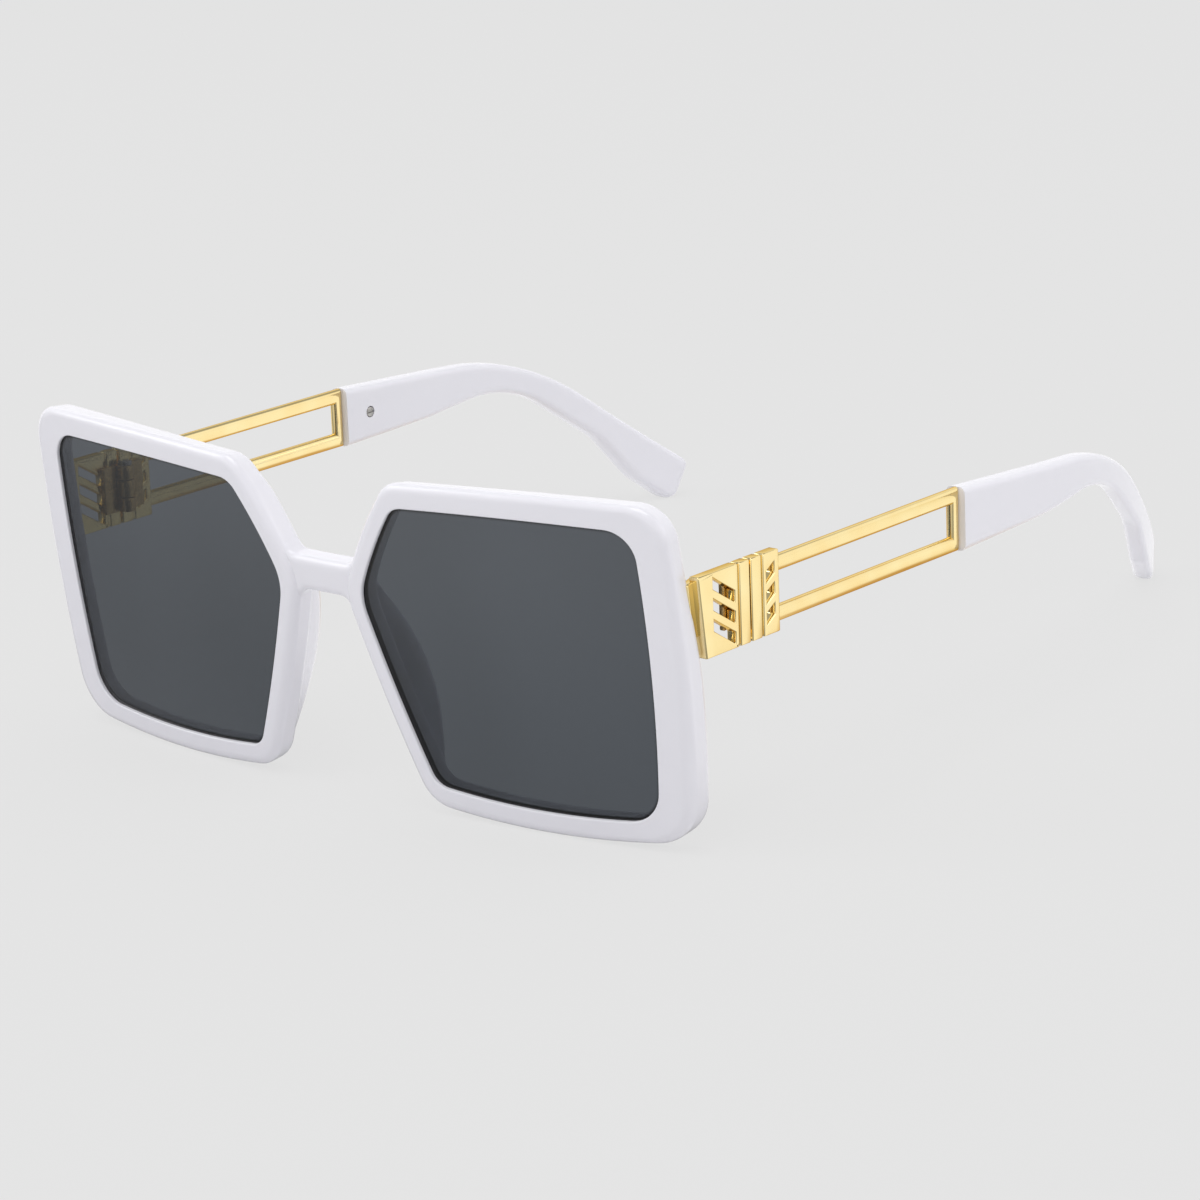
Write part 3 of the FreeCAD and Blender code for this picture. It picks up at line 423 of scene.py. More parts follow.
def arcs(centres: np.ndarray, starts: np.ndarray, ends: np.ndarray, steps: int) -> np.ndarray:
    """Points on arcs, the short way from start to end, without the end.

    Formula: c + r (cos a, sin a), a from the start's angle to the end's.

    Args:
        centres: Centres of the arcs, shape (arcs, 2).
        starts: First points, on the arcs.
        ends: Last points, on the arcs.
        steps: Points on each arc.

    Returns:
        Array of shape (arcs, steps, 2).
    """
    first = starts - centres
    last = ends - centres
    begin = np.arctan2(first[:, 1], first[:, 0])
    turn = np.arctan2(last[:, 1], last[:, 0]) - begin
    turn = (turn + math.pi) % (2.0 * math.pi) - math.pi
    angle = begin[:, None] + turn[:, None] * np.linspace(0.0, 1.0, steps, endpoint=False)
    radius = np.linalg.norm(first, axis=1)[:, None, None]
    return centres[:, None] + radius * np.stack([np.cos(angle), np.sin(angle)], axis=-1)


def crossings(centre_a: np.ndarray, radius_a: np.ndarray, centre_b: np.ndarray, radius_b: np.ndarray,
              near: np.ndarray) -> np.ndarray:
    """Crossings of pairs of circles that lie nearer to given points.

    Formula: l = (ra^2 - rb^2 + d^2) / (2 d) along the line of the centres, sqrt(ra^2 - l^2) aside.

    Args:
        centre_a: Centres of the first circles, shape (pairs, 2).
        radius_a: Their radii.
        centre_b: Centres of the second circles.
        radius_b: Their radii.
        near: Points that say which of the two crossings is meant.

    Returns:
        Array of shape (pairs, 2).
    """
    span = np.linalg.norm(centre_b - centre_a, axis=1)
    way = unit(centre_b - centre_a)
    along = (radius_a ** 2 - radius_b ** 2 + span ** 2) / (2.0 * span)
    aside = np.sqrt(radius_a ** 2 - along ** 2)
    middle = centre_a + way * along[:, None]
    one = middle + left_of(way) * aside[:, None]
    other = middle - left_of(way) * aside[:, None]
    nearer = np.linalg.norm(one - near, axis=1) < np.linalg.norm(other - near, axis=1)
    return np.where(nearer[:, None], one, other)


@dataclass(frozen=True)
class Outline:
    """Outline of one opening: five bowed sides with rounded corners between them.

    All sizes are in millimetres in the upright frame of the front, across from the middle and up.
    """

    brow: tuple[float, float] = (65.6, 23.8)
    inner_brow: tuple[float, float] = (18.5, 23.1)
    nose: tuple[float, float] = (8.9, 6.0)
    inner_cheek: tuple[float, float] = (20.3, -26.6)
    cheek: tuple[float, float] = (64.4, -26.9)
    bows: tuple[float, ...] = (0.5, 0.6, 0.5, 1.3, 1.2)
    radii: tuple[float, ...] = (5.5, 4.5, 9.0, 4.0, 6.5)
    rims: tuple[float, ...] = (4.6, 3.6, 3.5, 4.1, 6.1)
    rim_radii: tuple[float, ...] = (6.5, 5.5, 9.0, 7.0, 8.5)
    corner_steps: int = 14
    side_steps: int = 22

    def corners(self) -> np.ndarray:
        """The five corners before rounding, from the brow at the temple and on over the nose."""
        return np.array([self.brow, self.inner_brow, self.nose, self.inner_cheek, self.cheek])

    def sides(self) -> tuple[np.ndarray, np.ndarray]:
        """Circles of the five bowed sides.

        Formula: radius = (chord^2 / 4 + bow^2) / (2 bow), the centre lies radius - bow inside the chord.

        Returns:
            Centres of shape (5, 2) and radii of shape (5,).
        """
        start = self.corners()
        end = np.roll(start, -1, axis=0)
        bow = np.array(self.bows)
        chord = np.linalg.norm(end - start, axis=1)
        radius = (chord ** 2 / 4.0 + bow ** 2) / (2.0 * bow)
        centre = (start + end) / 2.0 + left_of(unit(end - start)) * (radius - bow)[:, None]
        return centre, radius

    def loop(self, offsets: np.ndarray, radii: np.ndarray) -> np.ndarray:
        """Points round the outline at an offset from the opening.

        Formula: a corner's centre is where the circles of its two sides cross, made smaller by its radius.

        Args:
            offsets: Offset of each side.
            radii: Radius at each corner.

        Returns:
            Array of shape (points, 2), each corner's arc followed by the side after it.
        """
        centre, radius = self.sides()
        radius = radius + offsets
        before_centre = np.roll(centre, 1, axis=0)
        before_radius = np.roll(radius, 1)
        middle = crossings(before_centre, before_radius - radii, centre, radius - radii, self.corners())
        first = before_centre + unit(middle - before_centre) * before_radius[:, None]
        last = centre + unit(middle - centre) * radius[:, None]
        corner = arcs(middle, first, last, self.corner_steps)
        side = arcs(centre, last, np.roll(first, -1, axis=0), self.side_steps)
        return np.concatenate([corner, side], axis=1).reshape(-1, 2)

    def opening(self, offset: float = 0.0) -> np.ndarray:
        """Points round the opening, at an even offset."""
        return self.loop(np.full(len(Edge), offset), np.array(self.radii) + offset)

    def rim(self) -> np.ndarray:
        """Points round the outer edge of the rim."""
        return self.loop(np.array(self.rims), np.array(self.rim_radii))

    def nose_edge(self, heights: np.ndarray) -> np.ndarray:
        """Place across of the rim's edge beside the nose.

        Args:
            heights: Heights in the upright frame.

        Returns:
            The edge's distance from the middle at each height.
        """
        step = self.corner_steps + self.side_steps
        branch = self.rim()[Edge.DIAGONAL * step + self.corner_steps:Edge.CHEEK * step][::-1]
        return np.interp(heights, branch[:, 1], branch[:, 0])


@dataclass(frozen=True)
class Layout:
    """Sizes in millimetres that several sub-assemblies share, in the frame of the worn glasses."""

    outline: Outline = field(default_factory=Outline)
    front_radius: float = 400.0
    front_tilt: float = math.radians(7.0)
    front_thickness: float = 5.2
    lens_recess: float = 0.7
    lens_thickness: float = 2.0
    groove_depth: float = 0.8
    lens_clearance: float = 0.05
    plate_overhang: float = 0.3
    plate_thickness: float = 2.0
    plate_bottom: float = 2.2
    plate_height: float = 14.0
    plate_gap: float = 0.1
    front_plate_length: float = 12.8
    rear_plate_length: float = 7.6
    seam_gap: float = 0.4
    lower_step: float = 1.45
    upper_step: float = 1.2
    arm_length: float = 59.1
    barrel_radius: float = 1.5
    barrel_gap: float = 0.1

    @property
    def plate_top(self) -> float:
        """Upper edge of the plates."""
        return self.plate_bottom + self.plate_height

    @property
    def plate_middle(self) -> float:
        """Middle height of the plates and the hinge."""
        return self.plate_bottom + self.plate_height / 2.0

    @property
    def plate_outer(self) -> float:
        """Outer face of the plates."""
        low, high = self.outline.cheek, self.outline.brow
        share = (self.plate_middle - low[1]) / (high[1] - low[1])
        line = low[0] + (high[0] - low[0]) * share
        return line + self.outline.bows[Edge.TEMPLE] + self.outline.rims[Edge.TEMPLE] + self.plate_overhang

    @property
    def plate_inner(self) -> float:
        """Inner face of the plates."""
        return self.plate_outer - self.plate_thickness

    @property
    def back_radius(self) -> float:
        """Radius of the back of the front."""
        return self.front_radius - self.front_thickness

    @property
    def groove(self) -> tuple[float, float]:
        """Depths of the front and back walls of the lens groove."""
        front = self.lens_recess - self.lens_clearance
        return front, self.lens_recess + self.lens_thickness + self.lens_clearance

    def plate_front(self, height: np.ndarray) -> np.ndarray:
        """Front end of the plates, just behind the leaning front.

        Args:
            height: Heights in the worn frame.

        Returns:
            The end's place along Y at each height.
        """
        depth = self.front_radius - math.sqrt(self.back_radius ** 2 - self.plate_outer ** 2)
        return depth / math.cos(self.front_tilt) - height * math.tan(self.front_tilt) + self.plate_gap

    @property
    def seam(self) -> float:
        """Place along Y of the seam between the two plates, over the hinge."""
        return float(self.plate_front(np.float64(self.plate_middle))) + self.front_plate_length

    @property
    def hinge_x(self) -> float:
        """Place across of the hinge's axis."""
        return self.plate_inner - self.barrel_radius - self.barrel_gap

    @property
    def arm_low(self) -> float:
        """Lower edge of the rails."""
        return self.plate_bottom + self.lower_step

    @property
    def arm_top(self) -> float:
        """Upper edge of the rails."""
        return self.plate_top - self.upper_step

    @property
    def arm_end(self) -> float:
        """Far end of the rails along Y."""
        return self.seam + self.arm_length

    def behind(self, flat: np.ndarray, depth: np.ndarray | float) -> np.ndarray:
        """Puts upright points behind the curved front.

        Formula: y = R - sqrt((R - depth)^2 - x^2).

        Args:
            flat: Points (across, up), shape (..., 2).
            depth: Depth behind the front surface.

        Returns:
            Array of shape (..., 3).
        """
        across = flat[..., 0]
        back = self.front_radius - np.sqrt((self.front_radius - depth) ** 2 - across ** 2)
        return np.stack([across, back, flat[..., 1]], axis=-1)


@dataclass(frozen=True)
class Stand:
    """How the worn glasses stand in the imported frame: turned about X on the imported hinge."""

    layout: Layout
    hinge: tuple[float, float, float]
    dip: float

    @classmethod
    def from_joint(cls, layout: Layout, joint: dict) -> "Stand":
        """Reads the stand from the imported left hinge.

        Args:
            layout: Shared sizes.
            joint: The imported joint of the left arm.

        Returns:
            The stand.
        """
        return cls(layout, tuple(joint["pos_m"]), math.atan2(joint["axis"][1], joint["axis"][2]))

    def turn(self) -> np.ndarray:
        """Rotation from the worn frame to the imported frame."""
        return rotation(-self.dip, "X")

    def worn(self, points: np.ndarray) -> np.ndarray:
        """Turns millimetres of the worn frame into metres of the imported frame."""
        axis = np.array([self.layout.hinge_x, self.layout.seam, self.layout.plate_middle])
        return np.array(self.hinge) + (points - axis) * MM @ self.turn().T

    def upright(self, points: np.ndarray) -> np.ndarray:
        """Turns millimetres of the front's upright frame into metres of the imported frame."""
        return self.worn(points @ rotation(self.layout.front_tilt, "X").T)

    def mirrored(self, side: Side, upright: bool = False) -> Place:
        """Place function for one side's pieces, which are made for the left.

        Args:
            side: The side that they are for.
            upright: Whether the points are in the front's upright frame.

        Returns:
            A function from millimetres to packed metres.
        """
        target = self.upright if upright else self.worn
        return lambda points: target(points * side.mirror)


# Finishes

NEUTRAL = (1.0, 1.0, 1.0)
NOISE_SPAN = (0.32, 0.68)
RELIEF_STRENGTH = 0.5
# Numbers of a mix node's colour sockets
MIX_COLOURS = (6, 7)
MIX_RESULT = 2


def opaque(colour: Colour) -> tuple[float, float, float, float]:
    """The colour with full opacity, as sockets take it."""
    return (*colour, 1.0)


class Nodes:
    """Shorthand for adding and linking the nodes of one tree."""

    def __init__(self, tree: bpy.types.NodeTree) -> None:
        """Takes a tree and empties it."""
        self.tree = tree
        self.tree.nodes.clear()

    def add(self, kind: str, settings: dict | None = None, **inputs: object) -> bpy.types.Node:
        """Adds a node.

        Args:
            kind: Blender's name of the node type.
            settings: Properties of the node.
            **inputs: Input sockets by name, underscores for spaces; a socket is linked, a value is set.

        Returns:
            The new node.
        """
        node = self.tree.nodes.new(kind)
        for name, value in (settings or {}).items():
            setattr(node, name, value)
        for name, value in inputs.items():
            self.give(node.inputs[name.replace("_", " ")], value)
        return node

    def give(self, socket: Socket, value: object) -> None:
        """Gives an input socket its value.

        Args:
            socket: The input.
            value: A socket, which is linked, or a plain value, which is set.
        """
        if isinstance(value, Socket):
            self.tree.links.new(value, socket)
        else:
            socket.default_value = value

    def math(self, operation: str, *values: Socket | float, clamp: bool = False) -> Socket:
        """Adds a math node.

        Args:
            operation: Its operation.
            *values: Sockets or numbers that it takes.
            clamp: Whether the result is kept between 0 and 1.

        Returns:
            The result.
        """
        node = self.add("ShaderNodeMath", {"operation": operation, "use_clamp": clamp})
        for socket, value in zip(node.inputs, values):
            self.give(socket, value)
        return node.outputs["Value"]

    def ramp(self, value: Socket, reach: tuple[float, float],
             levels: tuple[Socket | float, float]) -> Socket:
        """Adds a smooth step.

        Args:
            value: What it depends on.
            reach: Where the step starts and ends.
            levels: Results before and after the step.

        Returns:
            The result.
        """
        step = self.add("ShaderNodeMapRange", {"interpolation_type": "SMOOTHSTEP"}, Value=value,
                        From_Min=reach[0], From_Max=reach[1], To_Min=levels[0], To_Max=levels[1])
        return step.outputs["Result"]

    def mix(self, share: Socket, first: object, second: object) -> Socket:
        """Adds a mix of two colours.

        Args:
            share: Share of the second colour.
            first: A colour or the socket that gives it.
            second: Another one.

        Returns:
            The mixed colour.
        """
        node = self.add("ShaderNodeMix", {"data_type": "RGBA"}, Factor=share)
        for number, colour in zip(MIX_COLOURS, (first, second)):
            self.give(node.inputs[number], colour)
        return node.outputs[MIX_RESULT]

    def blend(self, share: Socket, first: Socket, second: Socket) -> Socket:
        """Adds a mix of two shaders.

        Args:
            share: Share of the second shader.
            first: One shader.
            second: Another one.

        Returns:
            The mixed shader.
        """
        node = self.add("ShaderNodeMixShader", Fac=share)
        for number, shader in enumerate((first, second), start=1):
            self.give(node.inputs[number], shader)
        return node.outputs["Shader"]


def grain_group() -> bpy.types.NodeTree:
    """Shared node group: soft noise in object coordinates, mapped between two values.

    Returns:
        The group, made at the first call.
    """
    name = "grain"
    if name in bpy.data.node_groups:
        return bpy.data.node_groups[name]
    tree = bpy.data.node_groups.new(name, "ShaderNodeTree")
    for label, kind, value in (("Scale", "NodeSocketFloat", 100.0), ("Detail", "NodeSocketFloat", 2.0),
                               ("Stretch", "NodeSocketVector", (1.0, 1.0, 1.0)),
                               ("Low", "NodeSocketFloat", 0.0), ("High", "NodeSocketFloat", 1.0)):
        socket = tree.interface.new_socket(label, in_out="INPUT", socket_type=kind)
        socket.default_value = value
    tree.interface.new_socket("Value", in_out="OUTPUT", socket_type="NodeSocketFloat")
    nodes = Nodes(tree)
    given = nodes.add("NodeGroupInput")
    where = nodes.add("ShaderNodeTexCoord")
    stretched = nodes.add("ShaderNodeVectorMath", {"operation": "MULTIPLY"})
    nodes.give(stretched.inputs[0], where.outputs["Object"])
    nodes.give(stretched.inputs[1], given.outputs["Stretch"])
    noise = nodes.add("ShaderNodeTexNoise", Vector=stretched.outputs["Vector"],
                      Scale=given.outputs["Scale"], Detail=given.outputs["Detail"])
    mapped = nodes.add("ShaderNodeMapRange", Value=noise.outputs["Fac"],
                       From_Min=NOISE_SPAN[0], From_Max=NOISE_SPAN[1],
                       To_Min=given.outputs["Low"], To_Max=given.outputs["High"])
    nodes.add("NodeGroupOutput", Value=mapped.outputs["Result"])
    return tree


@dataclass(frozen=True)
class Grain:
    """Use of the shared grain group.

    Attributes:
        scale: Cells per metre.
        low: Value in the dark cells.
        high: Value in the bright cells.
        detail: Octaves of the noise.
        stretch: Factors on the coordinates, for marks that run one way.
    """

    scale: float
    low: float = 0.0
    high: float = 1.0
    detail: float = 2.0
    stretch: tuple[float, float, float] = (1.0, 1.0, 1.0)

    def value(self, nodes: Nodes) -> Socket:
        """Adds the group to a material and returns its value."""
        group = nodes.add("ShaderNodeGroup", {"node_tree": grain_group()}, Scale=self.scale,
                          Detail=self.detail, Stretch=self.stretch, Low=self.low, High=self.high)
        return group.outputs["Value"]


@dataclass(frozen=True)
class Finish:
    """Look of one material: two tones, uneven gloss and a fine relief, and on the lens a painted shadow where
    its points carry the shade mark.

    Attributes:
        name: Name of the material.
        slot: The record's material slot; not used.
        light: Lighter tone.
        dark: Darker tone.
        tone: Grain that mixes the tones.
        gloss: Grain of the roughness.
        relief: Grain of the bump.
        relief_height: Height of the bump in metres.
        metallic: Metallic value.
        transmission: Transmission weight.
        coat: Weight of the clear coat.
        coat_roughness: Roughness of the clear coat.
        ior: Index of refraction.
        marked: Near-black tone painted where the points carry the shade mark, a painted shadow for the dark
            groove at the lens edge, or None for pieces without it.
        edge: Tint of the reflection where the surface is seen at a low angle.
    """

    name: str
    slot: Slot
    light: Colour
    dark: Colour
    tone: Grain
    gloss: Grain
    relief: Grain
    relief_height: float = 0.00001
    metallic: float = 0.0
    transmission: float = 0.0
    coat: float = 0.0
    coat_roughness: float = 0.05
    ior: float = 1.5
    marked: Colour | None = None
    edge: Colour = NEUTRAL

    def material(self) -> bpy.types.Material:
        """Makes the material.

        Returns:
            The material, made at the first call.
        """
        if self.name in bpy.data.materials:
            return bpy.data.materials[self.name]
        made = bpy.data.materials.new(self.name)
        made.use_nodes = True
        nodes = Nodes(made.node_tree)
        colour = nodes.mix(self.tone.value(nodes), opaque(self.dark), opaque(self.light))
        # Painted shade: where the points carry the shade mark, the colour turns to the near-black painted
        # groove shadow.
        if self.marked is not None:
            mark = nodes.add("ShaderNodeAttribute", {"attribute_name": SHADE_MARK})
            colour = nodes.mix(mark.outputs["Fac"], colour, opaque(self.marked))
        bump = nodes.add("ShaderNodeBump", Strength=RELIEF_STRENGTH, Distance=self.relief_height,
                         Height=self.relief.value(nodes))
        shader = nodes.add("ShaderNodeBsdfPrincipled", Base_Color=colour,
                           Roughness=self.gloss.value(nodes), Normal=bump.outputs["Normal"],
                           Metallic=self.metallic, Transmission_Weight=self.transmission,
                           Coat_Weight=self.coat, Coat_Roughness=self.coat_roughness, IOR=self.ior,
                           Specular_Tint=opaque(self.edge))
        nodes.add("ShaderNodeOutputMaterial", Surface=shader.outputs["BSDF"])
        return made

    def dress(self, piece: bpy.types.Object, body: str, *replaced: str) -> None:
        """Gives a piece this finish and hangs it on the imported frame.

        Args:
            piece: The new piece.
            body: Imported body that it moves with.
            *replaced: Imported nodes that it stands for.
        """
        piece.data.materials.clear()
        piece.data.materials.append(self.material())
        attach(piece, body)
        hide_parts(*replaced)
        LOG.info("%s: %d faces, %s", piece.name, len(piece.data.polygons), self.name)


WHITE = Finish(
    "moulded_white", Slot.WHITE, light=(0.926, 0.917, 0.98), dark=(0.908, 0.899, 0.964),
    tone=Grain(16.0, detail=1.0), gloss=Grain(260.0, 0.2, 0.25), relief=Grain(900.0),
    relief_height=0.000002, coat=0.35)
# Lens tint, with a painted groove shadow: a near-black line along the edge of each opening.
TINT = Finish(
    "grey_tint", Slot.LENS, light=(0.096, 0.108, 0.124), dark=(0.084, 0.094, 0.107),
    tone=Grain(18.0, detail=1.0, stretch=(1.5, 1.0, 0.7)), gloss=Grain(180.0, 0.0, 0.03), relief=Grain(60.0),
    relief_height=0.000002, transmission=1.0, marked=(0.004, 0.004, 0.005))
GOLD = Finish(
    "polished_gold", Slot.GOLD, light=(1.0, 0.84, 0.45), dark=(0.99, 0.78, 0.38),
    tone=Grain(150.0), gloss=Grain(700.0, 0.07, 0.13), relief=Grain(500.0, stretch=(1.0, 0.12, 1.0)),
    relief_height=0.000005, metallic=1.0, edge=(0.62, 0.46, 0.24))
HINGE_STEEL = Finish(
    "bronzed_satin_steel", Slot.HINGE, light=(0.64, 0.46, 0.22), dark=(0.46, 0.32, 0.14),
    tone=Grain(900.0), gloss=Grain(1200.0, 0.26, 0.38), relief=Grain(2600.0), metallic=1.0)
SCREW_STEEL = Finish(
    "satin_steel", Slot.SCREW, light=(0.52, 0.51, 0.49), dark=(0.32, 0.31, 0.3),
    tone=Grain(1500.0), gloss=Grain(1800.0, 0.2, 0.34), relief=Grain(3200.0, stretch=(1.0, 6.0, 1.0)),
    metallic=1.0)


# Sub-assemblies

@dataclass(frozen=True)
class FrontFrame:
    """Moulded front: two grooved rims, the bridge and the nose pads."""

    layout: Layout
    stand: Stand
    front_round: tuple[float, float] = (1.9, 1.5)
    back_round: tuple[float, float] = (0.9, 1.3)
    opening_round: tuple[float, float] = (0.3, 0.25)
    opening_back_round: tuple[float, float] = (0.4, 0.4)
    top_slope: float = 1.45
    top_way: tuple[float, float] = (0.45, 1.0)
    top_reach: tuple[float, float] = (0.5, 0.95)
    bridge_over_nose: float = 5.1
    bridge_height: float = 6.1
    bridge_recess: float = 0.7
    bridge_thickness: float = 4.3
    bridge_corner: float = 2.8
    bridge_round: tuple[float, float] = (1.4, 0.9)
    bridge_sink: float = 1.6
    bridge_level_steps: int = 6
    bridge_bend_steps: int = 12
    pad_over_nose: float = 3.5
    pad_end_gap: float = 0.4
    pad_depth: float = 5.4
    pad_sink: float = 0.4
    pad_wall: float = 2.6
    pad_shoulder: float = 0.6
    pad_splay: float = math.radians(14.0)
    pad_inset: float = 0.3
    pad_rows: int = 40
    pad_round_steps: int = 12

    def build(self) -> None:
        """Builds the front as one piece and dresses it."""
        shells = [self.bridge()]
        for side in Side:
            shells.append(self.rim(side))
            shells.append(self.pad(side))
        piece = make_piece("moulded_front", shells, self.stand.upright)
        WHITE.dress(piece, "front", "front_frame")

    def rim(self, side: Side) -> Shell:
        """One rim, a grooved section carried round the opening, its top sloping down towards the back.

        Formula: outer points sink by top_slope * depth / thickness where the rim faces along top_way, and
        less by a smooth step over top_reach where it turns away.

        Args:
            side: The side that it is for.

        Returns:
            The rim as a closed shell.
        """
        layout = self.layout
        groove_front, groove_back = layout.groove
        inlet = [(0.0, groove_back), (layout.groove_depth, groove_back),
                 (layout.groove_depth, groove_front), (0.0, groove_front)]
        rounds = (self.opening_round, self.front_round, self.back_round, self.opening_back_round)
        section = rounded_section(0.0, layout.front_thickness, rounds, inlet)
        low, high = layout.outline.opening(), layout.outline.rim()
        flat = section.carry(low, high)
        outward = unit(high - low)
        start, end = self.top_reach
        step = np.clip((outward @ np.array(self.top_way) - start) / (end - start), 0.0, 1.0)
        upward = step * step * (3.0 - 2.0 * step)
        fall = self.top_slope * section.share * section.depth / layout.front_thickness
        flat = flat - outward[:, None] * (upward[:, None] * fall)[..., None]
        return Shell.tube(layout.behind(flat, section.depth) * side.mirror, closed_path=True)

    def bridge_edge(self, edge: Edge, height: float, way: float) -> np.ndarray:
        """Half of the bridge's upper or lower edge, from the middle into the rim.

        A level run, then a hollow arc that touches the rim's bowed side, then a short way into the rim.

        Args:
            edge: The bowed side that it meets.
            height: Level of the edge at the middle.
            way: 1 for the upper edge, which turns up, and -1 for the lower edge.

        Returns:
            Array of shape (points, 2).
        """
        outline = self.layout.outline
        centres, radii = outline.sides()
        centre = centres[edge]
        radius = radii[edge] + outline.rims[edge]
        rise = height + way * self.bridge_corner
        reach = math.sqrt((radius + self.bridge_corner) ** 2 - (rise - centre[1]) ** 2)
        hollow = np.array([centre[0] - reach, rise])
        inward = unit(centre - hollow)
        touch = hollow + inward * self.bridge_corner
        start = np.array([hollow[0], height])
        level = np.linspace((0.0, height), start, self.bridge_level_steps, endpoint=False)
        bend = arcs(hollow[None], start[None], touch[None], self.bridge_bend_steps)[0]
        ending = np.stack([touch, touch + inward * self.bridge_sink])
        return np.concatenate([level, bend, ending])

    def bridge(self) -> Shell:
        """The bridge between the rims, its ends sunk in them.

        Returns:
            The bridge as a closed shell.
        """
        top = self.layout.outline.nose[1] + self.bridge_over_nose
        mirror = np.array([-1.0, 1.0])
        edges = []
        for edge, height, way in ((Edge.NOSE, top - self.bridge_height, -1.0), (Edge.DIAGONAL, top, 1.0)):
            half = self.bridge_edge(edge, height, way)
            edges.append(np.concatenate([half[:0:-1] * mirror, half]))
        section = rounded_section(self.bridge_recess, self.bridge_recess + self.bridge_thickness,
                                  (self.bridge_round,) * 4)
        return Shell.tube(self.layout.behind(section.carry(*edges), section.depth))

    def pad(self, side: Side) -> Shell:
        """One nose pad, a leaning wall behind the rim with a rounded edge.

        Formula: reach = back - sink + (depth + sink) (1 - share^2), share from -1 to 1 over the height. The
        section is a wall of even width, leaning by the splay, that ends in half an ellipse.

        Args:
            side: The side that it is for.

        Returns:
            The pad as a closed shell.
        """
        outline = self.layout.outline
        back = self.layout.front_thickness
        root = (self.layout.groove[1] + back) / 2.0
        share = np.sin(np.linspace(-math.pi / 2.0, math.pi / 2.0, self.pad_rows))
        low = outline.inner_cheek[1] + self.pad_end_gap
        high = outline.nose[1] + self.pad_over_nose
        heights = (low + high) / 2.0 + share * (high - low) / 2.0
        reach = back - self.pad_sink + (self.pad_depth + self.pad_sink) * (1.0 - share ** 2)
        shoulder = root + (reach - root) * self.pad_shoulder
        turn = np.linspace(0.0, math.pi, self.pad_round_steps)
        depth = np.empty((self.pad_rows, self.pad_round_steps + 2))
        depth[:, 0] = root
        depth[:, 1:-1] = shoulder[:, None] + (reach - shoulder)[:, None] * np.sin(turn)
        depth[:, -1] = root
        width = np.concatenate([[0.0], (1.0 - np.cos(turn)) / 2.0, [1.0]]) * self.pad_wall
        start = outline.nose_edge(heights) + self.pad_inset
        across = start[:, None] + (depth - root) * math.tan(self.pad_splay) + width
        flat = np.stack([across, np.broadcast_to(heights[:, None], across.shape)], axis=-1)
        return Shell.tube(self.layout.behind(flat, depth) * side.mirror)


@dataclass(frozen=True)
class Lens:
    """Curved tinted sheet in the groove of one rim."""

    layout: Layout
    stand: Stand
    edge_round: float = 0.2
    rings: tuple[float, ...] = (0.0, 0.06, 0.15, 0.27, 0.4, 0.53, 0.66, 0.78, 0.88, 0.95)
    # Offsets of the front rings near the edge; the outer ones carry the painted groove shadow.
    shade_line_offsets: tuple[float, ...] = (-1.5, -0.75, -0.3)

    def build(self, side: Side) -> None:
        """Builds one lens and dresses it.

        Formula: rings of the outline shrunk towards its middle, on both curved faces, closed at the middle.
        The front points from just inside the edge of the opening outwards carry the shade mark, so the finish
        paints a near-black shadow there for the shadowed groove.

        Args:
            side: The side that it is for.
        """
        layout = self.layout
        reach = layout.groove_depth - layout.lens_clearance
        outer = layout.outline.opening(reach)
        offsets = (*self.shade_line_offsets, reach - self.edge_round)
        lines = [layout.outline.opening(offset) for offset in offsets]
        middle = outer.mean(axis=0)
        share = np.array(self.rings)[:, None, None]
        face = np.concatenate([middle + (lines[0] - middle) * share, lines])
        flat = np.concatenate([face, outer[None], outer[None], face[::-1]])
        front = layout.lens_recess
        back = front + layout.lens_thickness
        count = len(face)
        depth = np.concatenate([np.full(count, front), [front + self.edge_round, back - self.edge_round],
                                np.full(count, back)])
        # Painted shadow: the last front rings and the edge get mark 1, so the finish paints them near black.
        marks = np.zeros((len(flat), 1))
        marks[count - 2:count + 1] = 1.0
        shell = Shell.grid(layout.behind(flat, depth[:, None]), (False, True), marks)
        piece = make_piece(f"curved_lens_{side.word}", [shell], self.stand.mirrored(side, upright=True))
        TINT.dress(piece, "front", f"lens_{side.word}")


